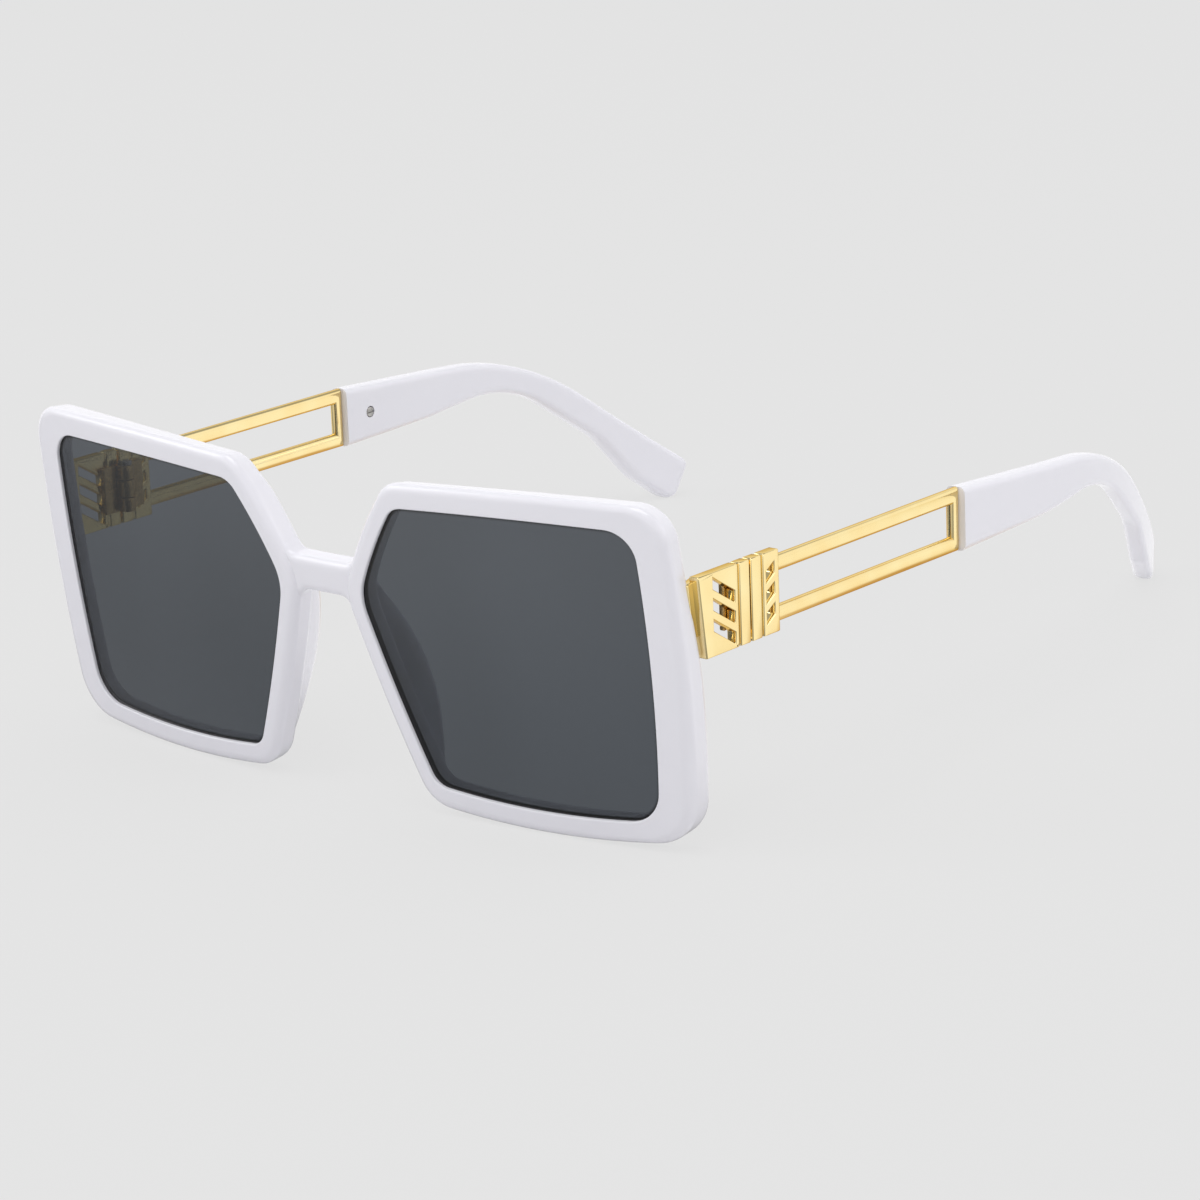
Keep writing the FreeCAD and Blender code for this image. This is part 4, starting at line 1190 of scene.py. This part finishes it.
@dataclass(frozen=True)
class Openwork:
    """Metal half plate with slanted slots, beside the seam."""

    layout: Layout
    slot_margin: float = 4.2
    slot_width: float = 2.0
    slot_pitch: float = 3.5
    slot_slant: float = math.radians(32.0)
    line_offset: float = 2.9
    line_width: float = 0.4
    line_depth: float = 0.3
    rounding: float = 0.28

    def shells(self, way: int, length: float, border: float, slanted_end: bool) -> list[Shell]:
        """The plate as a strip beside the seam, the slotted plate and the floor of the line between them.

        Formula: three slots a pitch apart, whose edges rise by the slant from the margin to the border.

        Args:
            way: -1 for the plate in front of the seam, 1 for the one behind it.
            length: Length of the plate from the seam.
            border: Metal left at its far end.
            slanted_end: Whether the far end follows the leaning front.

        Returns:
            Closed shells.
        """
        layout = self.layout
        line_end = self.line_offset + self.line_width
        far = length - border
        drop = (far - self.slot_margin) * math.tan(self.slot_slant) / 2.0
        centres = layout.plate_middle + self.slot_pitch * np.array([-1.0, 0.0, 1.0])
        edges = (centres[:, None] + np.array([-0.5, 0.5]) * self.slot_width).ravel()
        near_rows = np.concatenate([[layout.plate_bottom], edges - drop, [layout.plate_top]])
        far_rows = np.concatenate([[layout.plate_bottom], edges + drop, [layout.plate_top]])
        heights = np.stack([near_rows, near_rows, far_rows, far_rows])
        along = layout.seam + way * np.array([line_end, self.slot_margin, far, length])
        along = np.broadcast_to(along[:, None], heights.shape).copy()
        if slanted_end:
            along[-1] = layout.plate_front(heights[-1])
        keep = np.ones((3, len(near_rows) - 1), dtype=bool)
        keep[1, 1:-1:2] = False
        strip_rows = np.array([layout.plate_bottom, layout.plate_top])
        strip = layout.seam + way * np.array([layout.seam_gap / 2.0, self.line_offset])
        laps = np.array([self.line_offset - self.line_width, line_end + self.line_width])
        floor = layout.seam + way * laps
        shrink = np.array([self.line_depth, -self.line_depth])
        one_cell = np.ones((1, 1), dtype=bool)
        faces = (layout.plate_inner, layout.plate_outer)
        recessed = (layout.plate_inner + self.line_depth / 2.0, layout.plate_outer - self.line_depth)
        return [
            self.lattice(along, heights, keep, faces, self.rounding),
            self.lattice(*np.meshgrid(strip, strip_rows, indexing="ij"), one_cell, faces, self.rounding),
            self.lattice(*np.meshgrid(floor, strip_rows + shrink, indexing="ij"), one_cell, recessed, 0.0),
        ]

    @staticmethod
    def lattice(along: np.ndarray, heights: np.ndarray, keep: np.ndarray, faces: tuple[float, float],
                rounding: float) -> Shell:
        """A plate from a grid of cells, some of them left open.

        Args:
            along: Place along Y of the grid's points, shape (columns, rows).
            heights: Their heights, same shape.
            keep: Cells that are metal, one less each way.
            faces: Inner and outer face across.
            rounding: Width of the bevel on the edges.

        Returns:
            The plate as a closed shell: both faces, and a wall wherever metal meets an open cell.
        """
        shell = Shell(rounding)
        layers = [shell.add_points(np.stack([np.full_like(along, across), along, heights], axis=-1))
                  for across in faces]
        for layer in layers:
            shell.add_quads(layer, keep=keep)
        framed = np.pad(keep, 1)
        column_walls = framed[1:, 1:-1] != framed[:-1, 1:-1]
        row_walls = framed[1:-1, 1:] != framed[1:-1, :-1]
        inner, outer = layers
        columns = np.stack([inner[:, :-1], inner[:, 1:], outer[:, 1:], outer[:, :-1]], axis=-1)
        rows = np.stack([inner[:-1], inner[1:], outer[1:], outer[:-1]], axis=-1)
        shell.faces.extend(columns[column_walls].tolist())
        shell.faces.extend(rows[row_walls].tolist())
        return shell


@dataclass(frozen=True)
class Screw:
    """Slotted screw about its own Z axis, head up from the origin and shank down."""

    head_radius: float
    head_height: float
    shank_radius: float
    length: float
    slot_width: float = 0.35
    slot_depth: float = 0.3
    edge: float = 0.14
    head_shares: tuple[float, ...] = (0.998, 0.998, 0.96, 0.87)
    steps: int = 48

    def shells(self, origin: np.ndarray, axes: np.ndarray) -> list[Shell]:
        """The screw as a turned body and the two halves of its slotted head.

        Args:
            origin: Place of the head's underside.
            axes: Rotation with the screw's axes as columns.

        Returns:
            Closed shells.
        """
        floor = self.head_height - self.slot_depth
        tip = min(self.edge, self.shank_radius / 2.0)
        profile = np.array([(0.0, -self.length), (self.shank_radius - tip, -self.length),
                            (self.shank_radius, tip - self.length), (self.shank_radius, 0.0),
                            (self.head_radius - self.edge / 2.0, 0.0), (self.head_radius, self.edge / 2.0),
                            (self.head_radius, floor), (0.0, floor)])
        body = Shell.grid(revolved(profile, self.steps) @ axes.T + origin, (True, False))
        return [body, *(self.half_head(way, floor, origin, axes) for way in (1.0, -1.0))]

    def half_head(self, way: float, floor: float, origin: np.ndarray, axes: np.ndarray) -> Shell:
        """The part of the head on one side of the slot.

        Formula: a circle's segment cut off at half the slot's width, shrunk towards its middle at the top.

        Args:
            way: 1 or -1, the side of the slot.
            floor: Level of the slot's floor.
            origin: Place of the head's underside.
            axes: Rotation with the screw's axes as columns.

        Returns:
            A closed shell.
        """
        reach = math.acos(self.slot_width / 2.0 / self.head_radius)
        angle = np.linspace(-reach, reach, self.steps // 2)
        segment = self.head_radius * np.stack([np.cos(angle) * way, np.sin(angle)], axis=1)
        middle = np.array([way * (self.head_radius + self.slot_width / 2.0) / 2.0, 0.0])
        rings = middle + (segment - middle) * np.array(self.head_shares)[:, None, None]
        top = self.head_height
        levels = (floor - self.edge / 2.0, top - self.edge, top - self.edge / 3.0, top)
        return Shell.tube(at_levels(rings, levels) @ axes.T + origin)


@dataclass(frozen=True)
class Endpiece:
    """Openwork plate in front of the hinge, its foot in the back of the rim and the foot's screw."""

    layout: Layout
    stand: Stand
    openwork: Openwork
    slot_border: float = 3.0
    foot_width: float = 3.6
    foot_height: float = 9.4
    foot_thickness: float = 1.2
    heel_lap: float = 0.7
    heel_width: float = 1.5
    heel_height: float = 2.2
    foot_rounding: float = 0.2
    screw_inset: float = 1.1
    screw: Screw = Screw(0.85, 0.5, 0.5, 3.0, slot_width=0.26, slot_depth=0.22, edge=0.12)

    def build(self, side: Side) -> None:
        """Builds one endpiece with its screw and dresses them.

        Args:
            side: The side that they are for.
        """
        place = self.stand.mirrored(side)
        shells = self.openwork.shells(-1, self.layout.front_plate_length, self.slot_border, True)
        plate = make_piece(f"openwork_endpiece_{side.word}", [*shells, self.foot()], place)
        GOLD.dress(plate, "front", f"endpiece_{side.word}")
        origin, axes = self.seat()
        along = axes @ np.array([[1.0, 0.0, 0.0], [0.0, 0.0, 1.0], [0.0, -1.0, 0.0]])
        spot = origin + axes[:, 0] * (self.screw_inset - self.foot_width / 2.0)
        screw = make_piece(f"foot_screw_{side.word}", self.screw.shells(spot, along), place)
        SCREW_STEEL.dress(screw, "front", f"endpiece_screw_{side.word}")

    def seat(self) -> tuple[np.ndarray, np.ndarray]:
        """Seat of the foot on the curved, leaning back of the rim.

        Returns:
            Its middle and a rotation with the seat's axes as columns, in the worn frame.
        """
        layout = self.layout
        across = layout.plate_inner + self.heel_lap - self.foot_width / 2.0
        turn = math.asin(across / layout.back_radius)
        lean = rotation(layout.front_tilt, "X")
        depth = layout.front_radius - layout.back_radius * math.cos(turn)
        spot = np.array([across, depth, layout.plate_middle])
        return lean @ spot, lean @ rotation(turn, "Z")

    def foot(self) -> Shell:
        """The foot with its heel, an angled profile carried up the rim.

        Returns:
            A closed shell.
        """
        wide = self.foot_width / 2.0
        heel = wide - self.heel_width
        profile = np.array([(-wide, -self.foot_thickness), (wide, -self.foot_thickness),
                            (wide, self.heel_height), (heel, self.heel_height), (heel, 0.0), (-wide, 0.0)])
        points = at_levels(profile, (-self.foot_height / 2.0, self.foot_height / 2.0))
        origin, axes = self.seat()
        return Shell.tube(points @ axes.T + origin, self.foot_rounding)


@dataclass(frozen=True)
class Hinge:
    """Three-barrel hinge behind the seam: two leaves and the screw that they turn on."""

    layout: Layout
    stand: Stand
    height: float = 8.6
    outer_barrel_height: float = 2.6
    leaf_thickness: float = 1.0
    leaf_gap: float = 0.4
    leaf_length: float = 2.9
    bore: float = 0.74
    neck_reach: float = 1.4
    neck_root: float = 1.3
    rounding: float = 0.18
    ease_share: float = 0.3
    steps: int = 56
    screw: Screw = Screw(1.25, 0.8, 0.7, 8.6)

    @property
    def low(self) -> float:
        """Lowest level of the hinge."""
        return self.layout.plate_middle - self.height / 2.0

    @property
    def high(self) -> float:
        """Highest level of the hinge."""
        return self.layout.plate_middle + self.height / 2.0

    def build(self, side: Side) -> None:
        """Builds one hinge and dresses its pieces.

        Args:
            side: The side that it is for.
        """
        place = self.stand.mirrored(side)
        word = side.word
        step = self.outer_barrel_height
        gap = self.layout.barrel_gap
        outer = [(self.low, self.low + step), (self.high - step, self.high)]
        middle = [(self.low + step + gap, self.high - step - gap)]
        front = make_piece(f"front_leaf_{word}", self.leaf(-1, outer), place)
        HINGE_STEEL.dress(front, "front", f"hinge_front_leaf_{word}")
        rear = make_piece(f"rear_leaf_{word}", self.leaf(1, middle), place)
        HINGE_STEEL.dress(rear, side.arm_body, f"hinge_rear_leaf_{word}")
        origin = np.array([self.layout.hinge_x, self.layout.seam, self.high])
        pin = make_piece(f"hinge_pin_{word}", self.screw.shells(origin, np.eye(3)), place)
        SCREW_STEEL.dress(pin, "front", f"hinge_screw_{word}")

    def leaf(self, way: int, barrels: Sequence[tuple[float, float]]) -> list[Shell]:
        """One leaf with its barrels and necks, whose reach and root are multiples of the bore.

        Args:
            way: -1 for the leaf in front of the seam, 1 for the one behind it.
            barrels: Lowest and highest level of each barrel.

        Returns:
            Closed shells.
        """
        layout = self.layout
        wall = layout.plate_inner - self.leaf_thickness
        start = layout.seam + way * (layout.barrel_radius + self.leaf_gap)
        near, far = sorted((start, start + way * self.leaf_length))
        shells = [block((wall, near, self.low), (layout.plate_inner, far, self.high), self.rounding)]
        neck = layout.seam + way * self.bore * self.neck_reach
        near, far = sorted((neck, start + way * self.rounding))
        inner = layout.hinge_x + self.bore * self.neck_root
        outer = wall + self.rounding * 2.0
        for low, high in barrels:
            shells.append(block((inner, near, low), (outer, far, high), self.rounding / 2.0))
            shells.append(self.barrel(low, high))
        return shells

    def barrel(self, low: float, high: float) -> Shell:
        """One barrel, a bored ring with eased edges.

        Args:
            low: Its lowest level.
            high: Its highest level.

        Returns:
            A closed shell.
        """
        radius = self.layout.barrel_radius
        ease = self.rounding
        part = self.ease_share * ease
        profile = np.array([(self.bore, low), (radius - ease, low), (radius - part, low + part),
                            (radius, low + ease), (radius, high - ease), (radius - part, high - part),
                            (radius - ease, high), (self.bore, high)])
        centre = np.array([self.layout.hinge_x, self.layout.seam, 0.0])
        return Shell.tube(revolved(profile, self.steps) + centre, closed_path=True)


@dataclass(frozen=True)
class Arm:
    """Rear half plate, two rails and the end bar."""

    layout: Layout
    stand: Stand
    openwork: Openwork
    slot_border: float = 1.2
    rail_height: float = 2.8
    roundness: float = 2.25
    section_points: int = 56
    end_bar: float = 2.0
    plate_lap: float = 0.7
    inset: float = 0.02

    def build(self, side: Side) -> None:
        """Builds one arm and dresses it.

        Args:
            side: The side that it is for.
        """
        shells = self.openwork.shells(1, self.layout.rear_plate_length, self.slot_border, False)
        piece = make_piece(f"rail_arm_{side.word}", [*shells, self.rails()], self.stand.mirrored(side))
        GOLD.dress(piece, side.arm_body, f"temple_arm_{side.word}")

    def rails(self) -> Shell:
        """Both rails and the end bar as one rounded bar with mitred corners.

        Formula: the section is a superellipse, (|cos t|^(2/n), |sin t|^(2/n)) with the signs of cos and sin.

        Returns:
            A closed shell.
        """
        layout = self.layout
        start = layout.seam + layout.rear_plate_length - self.plate_lap
        end = layout.arm_end
        low, top = layout.arm_low, layout.arm_top
        outer = np.array([(start, low), (end, low), (end, top), (start, top)])
        window = end - self.end_bar
        inner = np.array([(start, low + self.rail_height), (window, low + self.rail_height),
                          (window, top - self.rail_height), (start, top - self.rail_height)])
        turn = np.linspace(0.0, 2.0 * math.pi, self.section_points, endpoint=False)
        power = 2.0 / self.roundness
        cosine, sine = np.cos(turn), np.sin(turn)
        share = (1.0 + np.sign(cosine) * np.abs(cosine) ** power) / 2.0
        swell = np.sign(sine) * np.abs(sine) ** power
        flat = outer[:, None] + (inner - outer)[:, None] * share[None, :, None]
        points = np.empty((*flat.shape[:2], 3))
        points[..., 0] = layout.plate_inner + layout.plate_thickness / 2.0
        points[..., 0] += swell * (layout.plate_thickness / 2.0 - self.inset)
        points[..., 1:] = flat
        return Shell.tube(points)


@dataclass(frozen=True)
class Tip:
    """Moulded ear piece with a bowed plan and a paddle end, and the screw in its inner face."""

    layout: Layout
    stand: Stand
    gap: float = 0.1
    thickness: float = 4.0
    edge_round: float = 1.3
    straight: float = 25.0
    bow_radius: float = 120.0
    handle: float = 50.8
    bend_drop: float = 3.2
    neck: float = 5.0
    neck_setback: float = 4.1
    bend_top_radius: float = 54.0
    bend_bottom_radius: float = 26.0
    rise_setback: float = 26.0
    rise: float = 0.7
    rise_radius: float = 60.0
    paddle_reach: float = 34.0
    paddle_drop: float = 27.2
    end_height: float = 8.5
    end_lean: float = 3.2
    end_top_radius: float = 2.0
    end_bottom_radius: float = 1.8
    sole_reach: float = 7.5
    sole_rise: float = 6.3
    heel_radius: float = 8.0
    flare_reach: float = 7.5
    flare_rise: float = 9.7
    flare_radius: float = 14.0
    screw_setback: float = 6.4
    screw_clearance: float = 0.12
    screw: Screw = Screw(1.0, 0.8, 0.6, 1.9, slot_width=0.3)
    bore_flare: float = 0.25
    bore_steps: int = 64
    bend_steps: int = 90
    stations: int = 170
    rows: int = 8

    @property
    def start(self) -> float:
        """Place along Y where the tip begins."""
        return self.layout.arm_end + self.gap

    @property
    def centre_x(self) -> float:
        """Place across of the middle of the straight part."""
        return self.layout.plate_outer - self.layout.plate_thickness / 2.0

    def build(self, side: Side) -> None:
        """Builds one tip with its screw and dresses them.

        Args:
            side: The side that it is for.
        """
        place = self.stand.mirrored(side)
        word = side.word
        tip = make_piece(f"moulded_tip_{word}", [self.body()], place)
        middle = (self.layout.arm_low + self.layout.arm_top) / 2.0
        face = self.centre_x - self.thickness / 2.0
        inward = np.array([[0.0, 0.0, -1.0], [0.0, 1.0, 0.0], [1.0, 0.0, 0.0]])
        spot = np.array([face, self.start + self.screw_setback, middle])
        radius = self.screw.head_radius + self.screw_clearance
        depth = self.screw.head_height
        flare = self.bore_flare
        profile = np.array([(0.0, -depth), (radius, -depth), (radius, 0.0),
                            (radius + flare, flare), (0.0, flare)])
        bore = Shell.grid(revolved(profile, self.bore_steps) @ inward.T + spot, (True, False))
        cut_away(tip, make_piece("counterbore", [bore], place))
        WHITE.dress(tip, side.arm_body, f"temple_tip_{word}")
        seat = spot + np.array([depth, 0.0, 0.0])
        screw = make_piece(f"arm_screw_{word}", self.screw.shells(seat, inward), place)
        SCREW_STEEL.dress(screw, side.arm_body, f"tip_screw_{word}")

    def edge_line(self, corners: Sequence[tuple[float, float, float]]) -> tuple[np.ndarray, np.ndarray]:
        """Evenly spaced points along straight runs with rounded corners, with unit tangents.

        Formula: with h as half the corner's angle, its arc of radius r starts r / tan h away from the corner,
        and the arc's centre lies r / sin h away from it.

        Args:
            corners: Points (along, up, radius); the first and last have no radius.

        Returns:
            Points and tangents, each of shape (stations, 2).
        """
        spots = np.array(corners)[:, :2]
        radii = np.array(corners)[1:-1, 2]
        back = unit(spots[:-2] - spots[1:-1])
        on = unit(spots[2:] - spots[1:-1])
        half = np.arccos(np.clip((back * on).sum(axis=1), -1.0, 1.0)) / 2.0
        leg = (radii / np.tan(half))[:, None]
        first = spots[1:-1] + back * leg
        last = spots[1:-1] + on * leg
        centres = spots[1:-1] + unit(back + on) * (radii / np.sin(half))[:, None]
        bends = arcs(centres, first, last, self.bend_steps)
        bends = np.concatenate([bends, last[:, None]], axis=1).reshape(-1, 2)
        line = np.concatenate([spots[:1], bends, spots[-1:]])
        length = np.concatenate([[0.0], np.cumsum(np.linalg.norm(np.diff(line, axis=0), axis=1))])
        even = np.linspace(0.0, length[-1], self.stations)
        points = np.stack([np.interp(even, length, line[:, 0]), np.interp(even, length, line[:, 1])], axis=1)
        return points, unit(np.gradient(points, axis=0))

    def bowed(self, flat: np.ndarray, across: np.ndarray) -> np.ndarray:
        """Puts points of the side view on the bowed plan.

        Formula: x = c + w before the bow, and c - R + sqrt((R + w)^2 - (y - y0)^2) in it.

        Args:
            flat: Points (along, up), shape (..., 2).
            across: Distance w from the middle of the thickness.

        Returns:
            Array of shape (..., 3).
        """
        past = np.maximum(flat[..., 0] - self.start - self.straight, 0.0)
        x = self.centre_x - self.bow_radius + np.sqrt((self.bow_radius + across) ** 2 - past ** 2)
        return np.stack([x, flat[..., 0], flat[..., 1]], axis=-1)

    def body(self) -> Shell:
        """The ear piece: rounded lower and upper edges that meet at its end, two faces and its front end.

        Formula: each edge is two quarter rounds carried along its line, the faces run straight between them.

        Returns:
            A closed shell.
        """
        low, top = self.layout.arm_low, self.layout.arm_top
        bend = self.start + self.handle
        end = bend + self.paddle_reach
        bend_top = top - self.bend_drop
        end_top = bend_top - self.paddle_drop
        end_low = (end - self.end_lean, end_top - self.end_height)
        last = ((end + end_low[0]) / 2.0, (end_top + end_low[1]) / 2.0, 0.0)
        heel = (end_low[0] - self.sole_reach, end_low[1] + self.sole_rise)
        flare = (heel[0] - self.flare_reach, heel[1] + self.flare_rise)
        lower = [(self.start, low, 0.0), (bend - self.rise_setback, low + self.rise, self.rise_radius),
                 (bend - self.neck_setback, bend_top - self.neck, self.bend_bottom_radius),
                 (*flare, self.flare_radius), (*heel, self.heel_radius),
                 (*end_low, self.end_bottom_radius), last]
        upper = [(self.start, top, 0.0), (bend, bend_top, self.bend_top_radius),
                 (end, end_top, self.end_top_radius), last]
        half = self.thickness / 2.0
        out, down = quarter_round()
        shift = np.concatenate([out, out[::-1]]) * self.edge_round
        away = half - down * self.edge_round
        lift = np.concatenate([-away, away[::-1]])
        shell = Shell()
        edges = []
        insets = []
        for corners, way in ((lower, 1.0), (upper, -1.0)):
            points, tangent = self.edge_line(corners)
            inward = left_of(tangent) * way
            flat = points[:, None] + inward[:, None] * shift[None, :, None]
            edges.append(shell.add_points(self.bowed(flat, np.broadcast_to(lift, flat.shape[:2]))))
            insets.append(points + inward * self.edge_round)
            shell.add_quads(edges[-1])
        share = np.linspace(0.0, 1.0, self.rows)[None, :, None]
        face = insets[0][:, None] * (1.0 - share) + insets[1][:, None] * share
        faces = []
        for across in (-half, half):
            faces.append(shell.add_points(self.bowed(face, np.full(face.shape[:2], across))))
            shell.add_quads(faces[-1])
        inner, outer = faces[0][0, 1:-1], faces[1][0, 1:-1]
        shell.add_ring(np.concatenate([edges[0][0], outer, edges[1][0][::-1], inner[::-1]]))
        return shell


# Studio

@dataclass(frozen=True)
class Lamp:
    """One soft lamp, aimed at the middle of the glasses.

    Attributes:
        name: Name of the lamp.
        spot: Its place in metres.
        size: Side of its square in metres.
        energy: Power in watts.
    """

    name: str
    spot: tuple[float, float, float]
    size: float
    energy: float

    def build(self, target: tuple[float, float, float]) -> None:
        """Adds the lamp and turns it to a target."""
        data = bpy.data.lights.new(self.name, "AREA")
        data.shape = "SQUARE"
        data.size = self.size
        data.energy = self.energy
        lamp = bpy.data.objects.new(self.name, data)
        lamp.location = self.spot
        aim = Vector(target) - lamp.location
        lamp.rotation_euler = aim.to_track_quat("-Z", "Y").to_euler()
        bpy.context.scene.collection.objects.link(lamp)


@dataclass(frozen=True)
class Studio:
    """Pale floor, plain to the camera, even light and the camera at the viewing angle of the picture; what
    gloss shows of the floor carries painted shade.

    Reaches on the floor are in metres. The camera's angles are in radians and its lengths in millimetres,
    about a point of the worn frame.
    """

    stand: Stand
    backdrop: Colour = (0.777, 0.777, 0.777)
    paper: Colour = (0.8, 0.8, 0.8)
    ambient: float = 0.6
    floor_size: float = 12.0
    floor_shade: float = 0.12
    wall_glare: float = 1.0
    ceiling_glare: float = 0.4
    ceiling_reach: tuple[float, float] = (0.54, 0.62)
    # Gloss levels of the floor, with painted shade: a painted shadow that darkens it before the front towards
    # the glasses, and warm painted shadows below the arms, faint before the front.
    floor_glare: float = 1.03
    front_shadow_glare: tuple[float, float] = (0.68, 0.3)
    front_reach: tuple[float, float] = (-0.2, -0.09)
    behind_reach: tuple[float, float] = (-0.07, -0.04)
    arm_line: float = 0.072
    arm_glow: Colour = (0.68, 0.5, 0.3)
    arm_start: tuple[float, float] = (-0.03, 0.0)
    arm_stop: tuple[float, float] = (0.045, 0.075)
    front_shadow_streak: float = 0.12
    arm_reach: tuple[float, float] = (0.008, 0.045)
    azimuth: float = math.radians(39.90)
    elevation: float = math.radians(15.91)
    roll: float = math.radians(-2.15)
    distance: float = 742.37
    aside: float = -44.91
    above: float = -3.20
    aim_y: float = 2.63
    focal_length: float = 131.64
    sensor: float = 36.0
    clip_start: float = 0.01
    lamp_target: tuple[float, float, float] = (0.0, -0.02, 0.03)
    lamps: tuple[Lamp, ...] = (
        Lamp("key", (-1.35, -0.95, 1.0), size=0.9, energy=5.4),
        Lamp("top", (0.1, -0.3, 1.6), size=1.1, energy=8.9),
        Lamp("fill", (1.3, 0.3, 0.6), size=0.8, energy=2.0),
    )

    def build(self) -> None:
        """Builds camera, world, floor and lamps."""
        self.build_camera()
        self.build_world()
        self.build_floor()
        for lamp in self.lamps:
            lamp.build(self.lamp_target)
        bpy.context.scene.view_settings.view_transform = "Standard"

    def build_camera(self) -> None:
        """Puts the camera where the picture was taken from."""
        data = bpy.data.cameras.new("camera")
        data.sensor_width = self.sensor
        data.lens = self.focal_length
        data.clip_start = self.clip_start
        camera = bpy.data.objects.new("camera", data)
        cos_a, sin_a = math.cos(self.azimuth), math.sin(self.azimuth)
        cos_e, sin_e = math.cos(self.elevation), math.sin(self.elevation)
        level = np.array([cos_a, sin_a, 0.0])
        back = np.array([sin_a * cos_e, -cos_a * cos_e, sin_e])
        raised = np.cross(back, level)
        right = math.cos(self.roll) * level + math.sin(self.roll) * raised
        up = math.cos(self.roll) * raised - math.sin(self.roll) * level
        aim = np.array([0.0, self.aim_y, 0.0])
        spot = -self.aside * right - self.above * up + self.distance * back + aim
        pose = np.eye(4)
        pose[:3, :3] = self.stand.turn() @ np.stack([right, up, back], axis=1)
        pose[:3, 3] = self.stand.worn(spot)
        camera.matrix_world = Matrix(pose.tolist())
        bpy.context.scene.collection.objects.link(camera)
        bpy.context.scene.camera = camera

    @staticmethod
    def by_ray(nodes: Nodes, base: Socket, shown: Socket, shown_share: float, gloss: Socket) -> Socket:
        """Mixes three shaders by the kind of ray that meets them.

        Args:
            nodes: Tree that the shaders are in.
            base: What lights the pieces.
            shown: What camera rays and rays through a lens see.
            shown_share: How much of it they see over the base.
            gloss: What rays see that a glossy surface throws back.

        Returns:
            The mixed shader.
        """
        rays = nodes.add("ShaderNodeLightPath").outputs
        through = rays["Is Transmission Ray"]
        share = nodes.math("MULTIPLY", nodes.math("MAXIMUM", rays["Is Camera Ray"], through), shown_share)
        thrown_back = nodes.math("SUBTRACT", rays["Is Glossy Ray"], through, clamp=True)
        return nodes.blend(thrown_back, nodes.blend(share, base, shown), gloss)

    def build_world(self) -> None:
        """Even light, a backdrop of the floor's colour, and bright walls under a dark ceiling for gloss."""
        world = bpy.data.worlds.new("studio")
        world.use_nodes = True
        bpy.context.scene.world = world
        nodes = Nodes(world.node_tree)
        where = nodes.add("ShaderNodeTexCoord")
        parts = nodes.add("ShaderNodeSeparateXYZ", Vector=where.outputs["Generated"])
        glare = nodes.ramp(parts.outputs["Z"], self.ceiling_reach, (self.wall_glare, self.ceiling_glare))
        light, shown, gloss = [
            nodes.add("ShaderNodeBackground", Color=opaque(colour), Strength=strength).outputs["Background"]
            for colour, strength in ((NEUTRAL, self.ambient), (self.backdrop, 1.0), (NEUTRAL, glare))]
        nodes.add("ShaderNodeOutputWorld", Surface=self.by_ray(nodes, light, shown, 1.0, gloss))

    def floor_gloss(self, nodes: Nodes) -> Socket:
        """What gloss shows of the floor: bright behind the front, a painted shadow that dims it before the
        front, most near the glasses, and warm painted shadows below the arms, tinted like light bounced off
        the gold.

        Formula: a line's share falls from w to 0 with | |x| - arm_line |, and w is 1 below the arm and small
        before the front.

        Args:
            nodes: Tree of the floor's material.

        Returns:
            The emission.
        """
        where = nodes.add("ShaderNodeTexCoord")
        parts = nodes.add("ShaderNodeSeparateXYZ", Vector=where.outputs["Object"])
        along = parts.outputs["Y"]
        # Painted shadow: before the front the floor's gloss darkens towards the glasses.
        before = nodes.ramp(along, self.front_reach, self.front_shadow_glare)
        behind = nodes.ramp(along, self.behind_reach, (0.0, self.floor_glare))
        glare = nodes.math("MAXIMUM", before, behind)
        # Painted shadows below the arms, in a warm tone like light bounced off the gold, faint before the
        # front.
        rising = nodes.ramp(along, self.arm_start, (self.front_shadow_streak, 1.0))
        falling = nodes.ramp(along, self.arm_stop, (1.0, 0.0))
        weight = nodes.math("MINIMUM", rising, falling)
        aside = nodes.math("SUBTRACT", nodes.math("ABSOLUTE", parts.outputs["X"]), self.arm_line)
        share = nodes.ramp(nodes.math("ABSOLUTE", aside), self.arm_reach, (weight, 0.0))
        tone = nodes.mix(share, opaque(NEUTRAL), opaque(self.arm_glow))
        return nodes.add("ShaderNodeEmission", Color=tone, Strength=glare).outputs["Emission"]

    def build_floor(self) -> None:
        """Floor that shows the backdrop's colour and keeps the soft shadow; what glossy rays see of it
        carries painted shade.
        """
        half = self.floor_size / 2.0
        mesh = bpy.data.meshes.new("floor")
        corners = [(-half, -half, 0.0), (half, -half, 0.0), (half, half, 0.0), (-half, half, 0.0)]
        mesh.from_pydata(corners, [], [(0, 1, 2, 3)])
        floor = bpy.data.objects.new("floor", mesh)
        bpy.context.scene.collection.objects.link(floor)
        paper = bpy.data.materials.new("paper")
        paper.use_nodes = True
        nodes = Nodes(paper.node_tree)
        matt = nodes.add("ShaderNodeBsdfDiffuse", Color=opaque(self.paper)).outputs["BSDF"]
        glow = nodes.add("ShaderNodeEmission", Color=opaque(self.backdrop), Strength=1.0).outputs["Emission"]
        mixed = self.by_ray(nodes, matt, glow, 1.0 - self.floor_shade, self.floor_gloss(nodes))
        nodes.add("ShaderNodeOutputMaterial", Surface=mixed)
        mesh.materials.append(paper)


def main() -> None:
    """Builds the pieces in order, then the studio."""
    logging.basicConfig(level=logging.INFO, format="%(message)s")
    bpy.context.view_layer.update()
    layout = Layout()
    joint = next(joint for joint in frame["joints"] if joint["name"] == "left_temple_fold")
    stand = Stand.from_joint(layout, joint)
    openwork = Openwork(layout)
    FrontFrame(layout, stand).build()
    for side in Side:
        Lens(layout, stand).build(side)
        Endpiece(layout, stand, openwork).build(side)
        Hinge(layout, stand).build(side)
        Arm(layout, stand, openwork).build(side)
        Tip(layout, stand).build(side)
    Studio(stand).build()


if __name__ == "__main__":
    main()
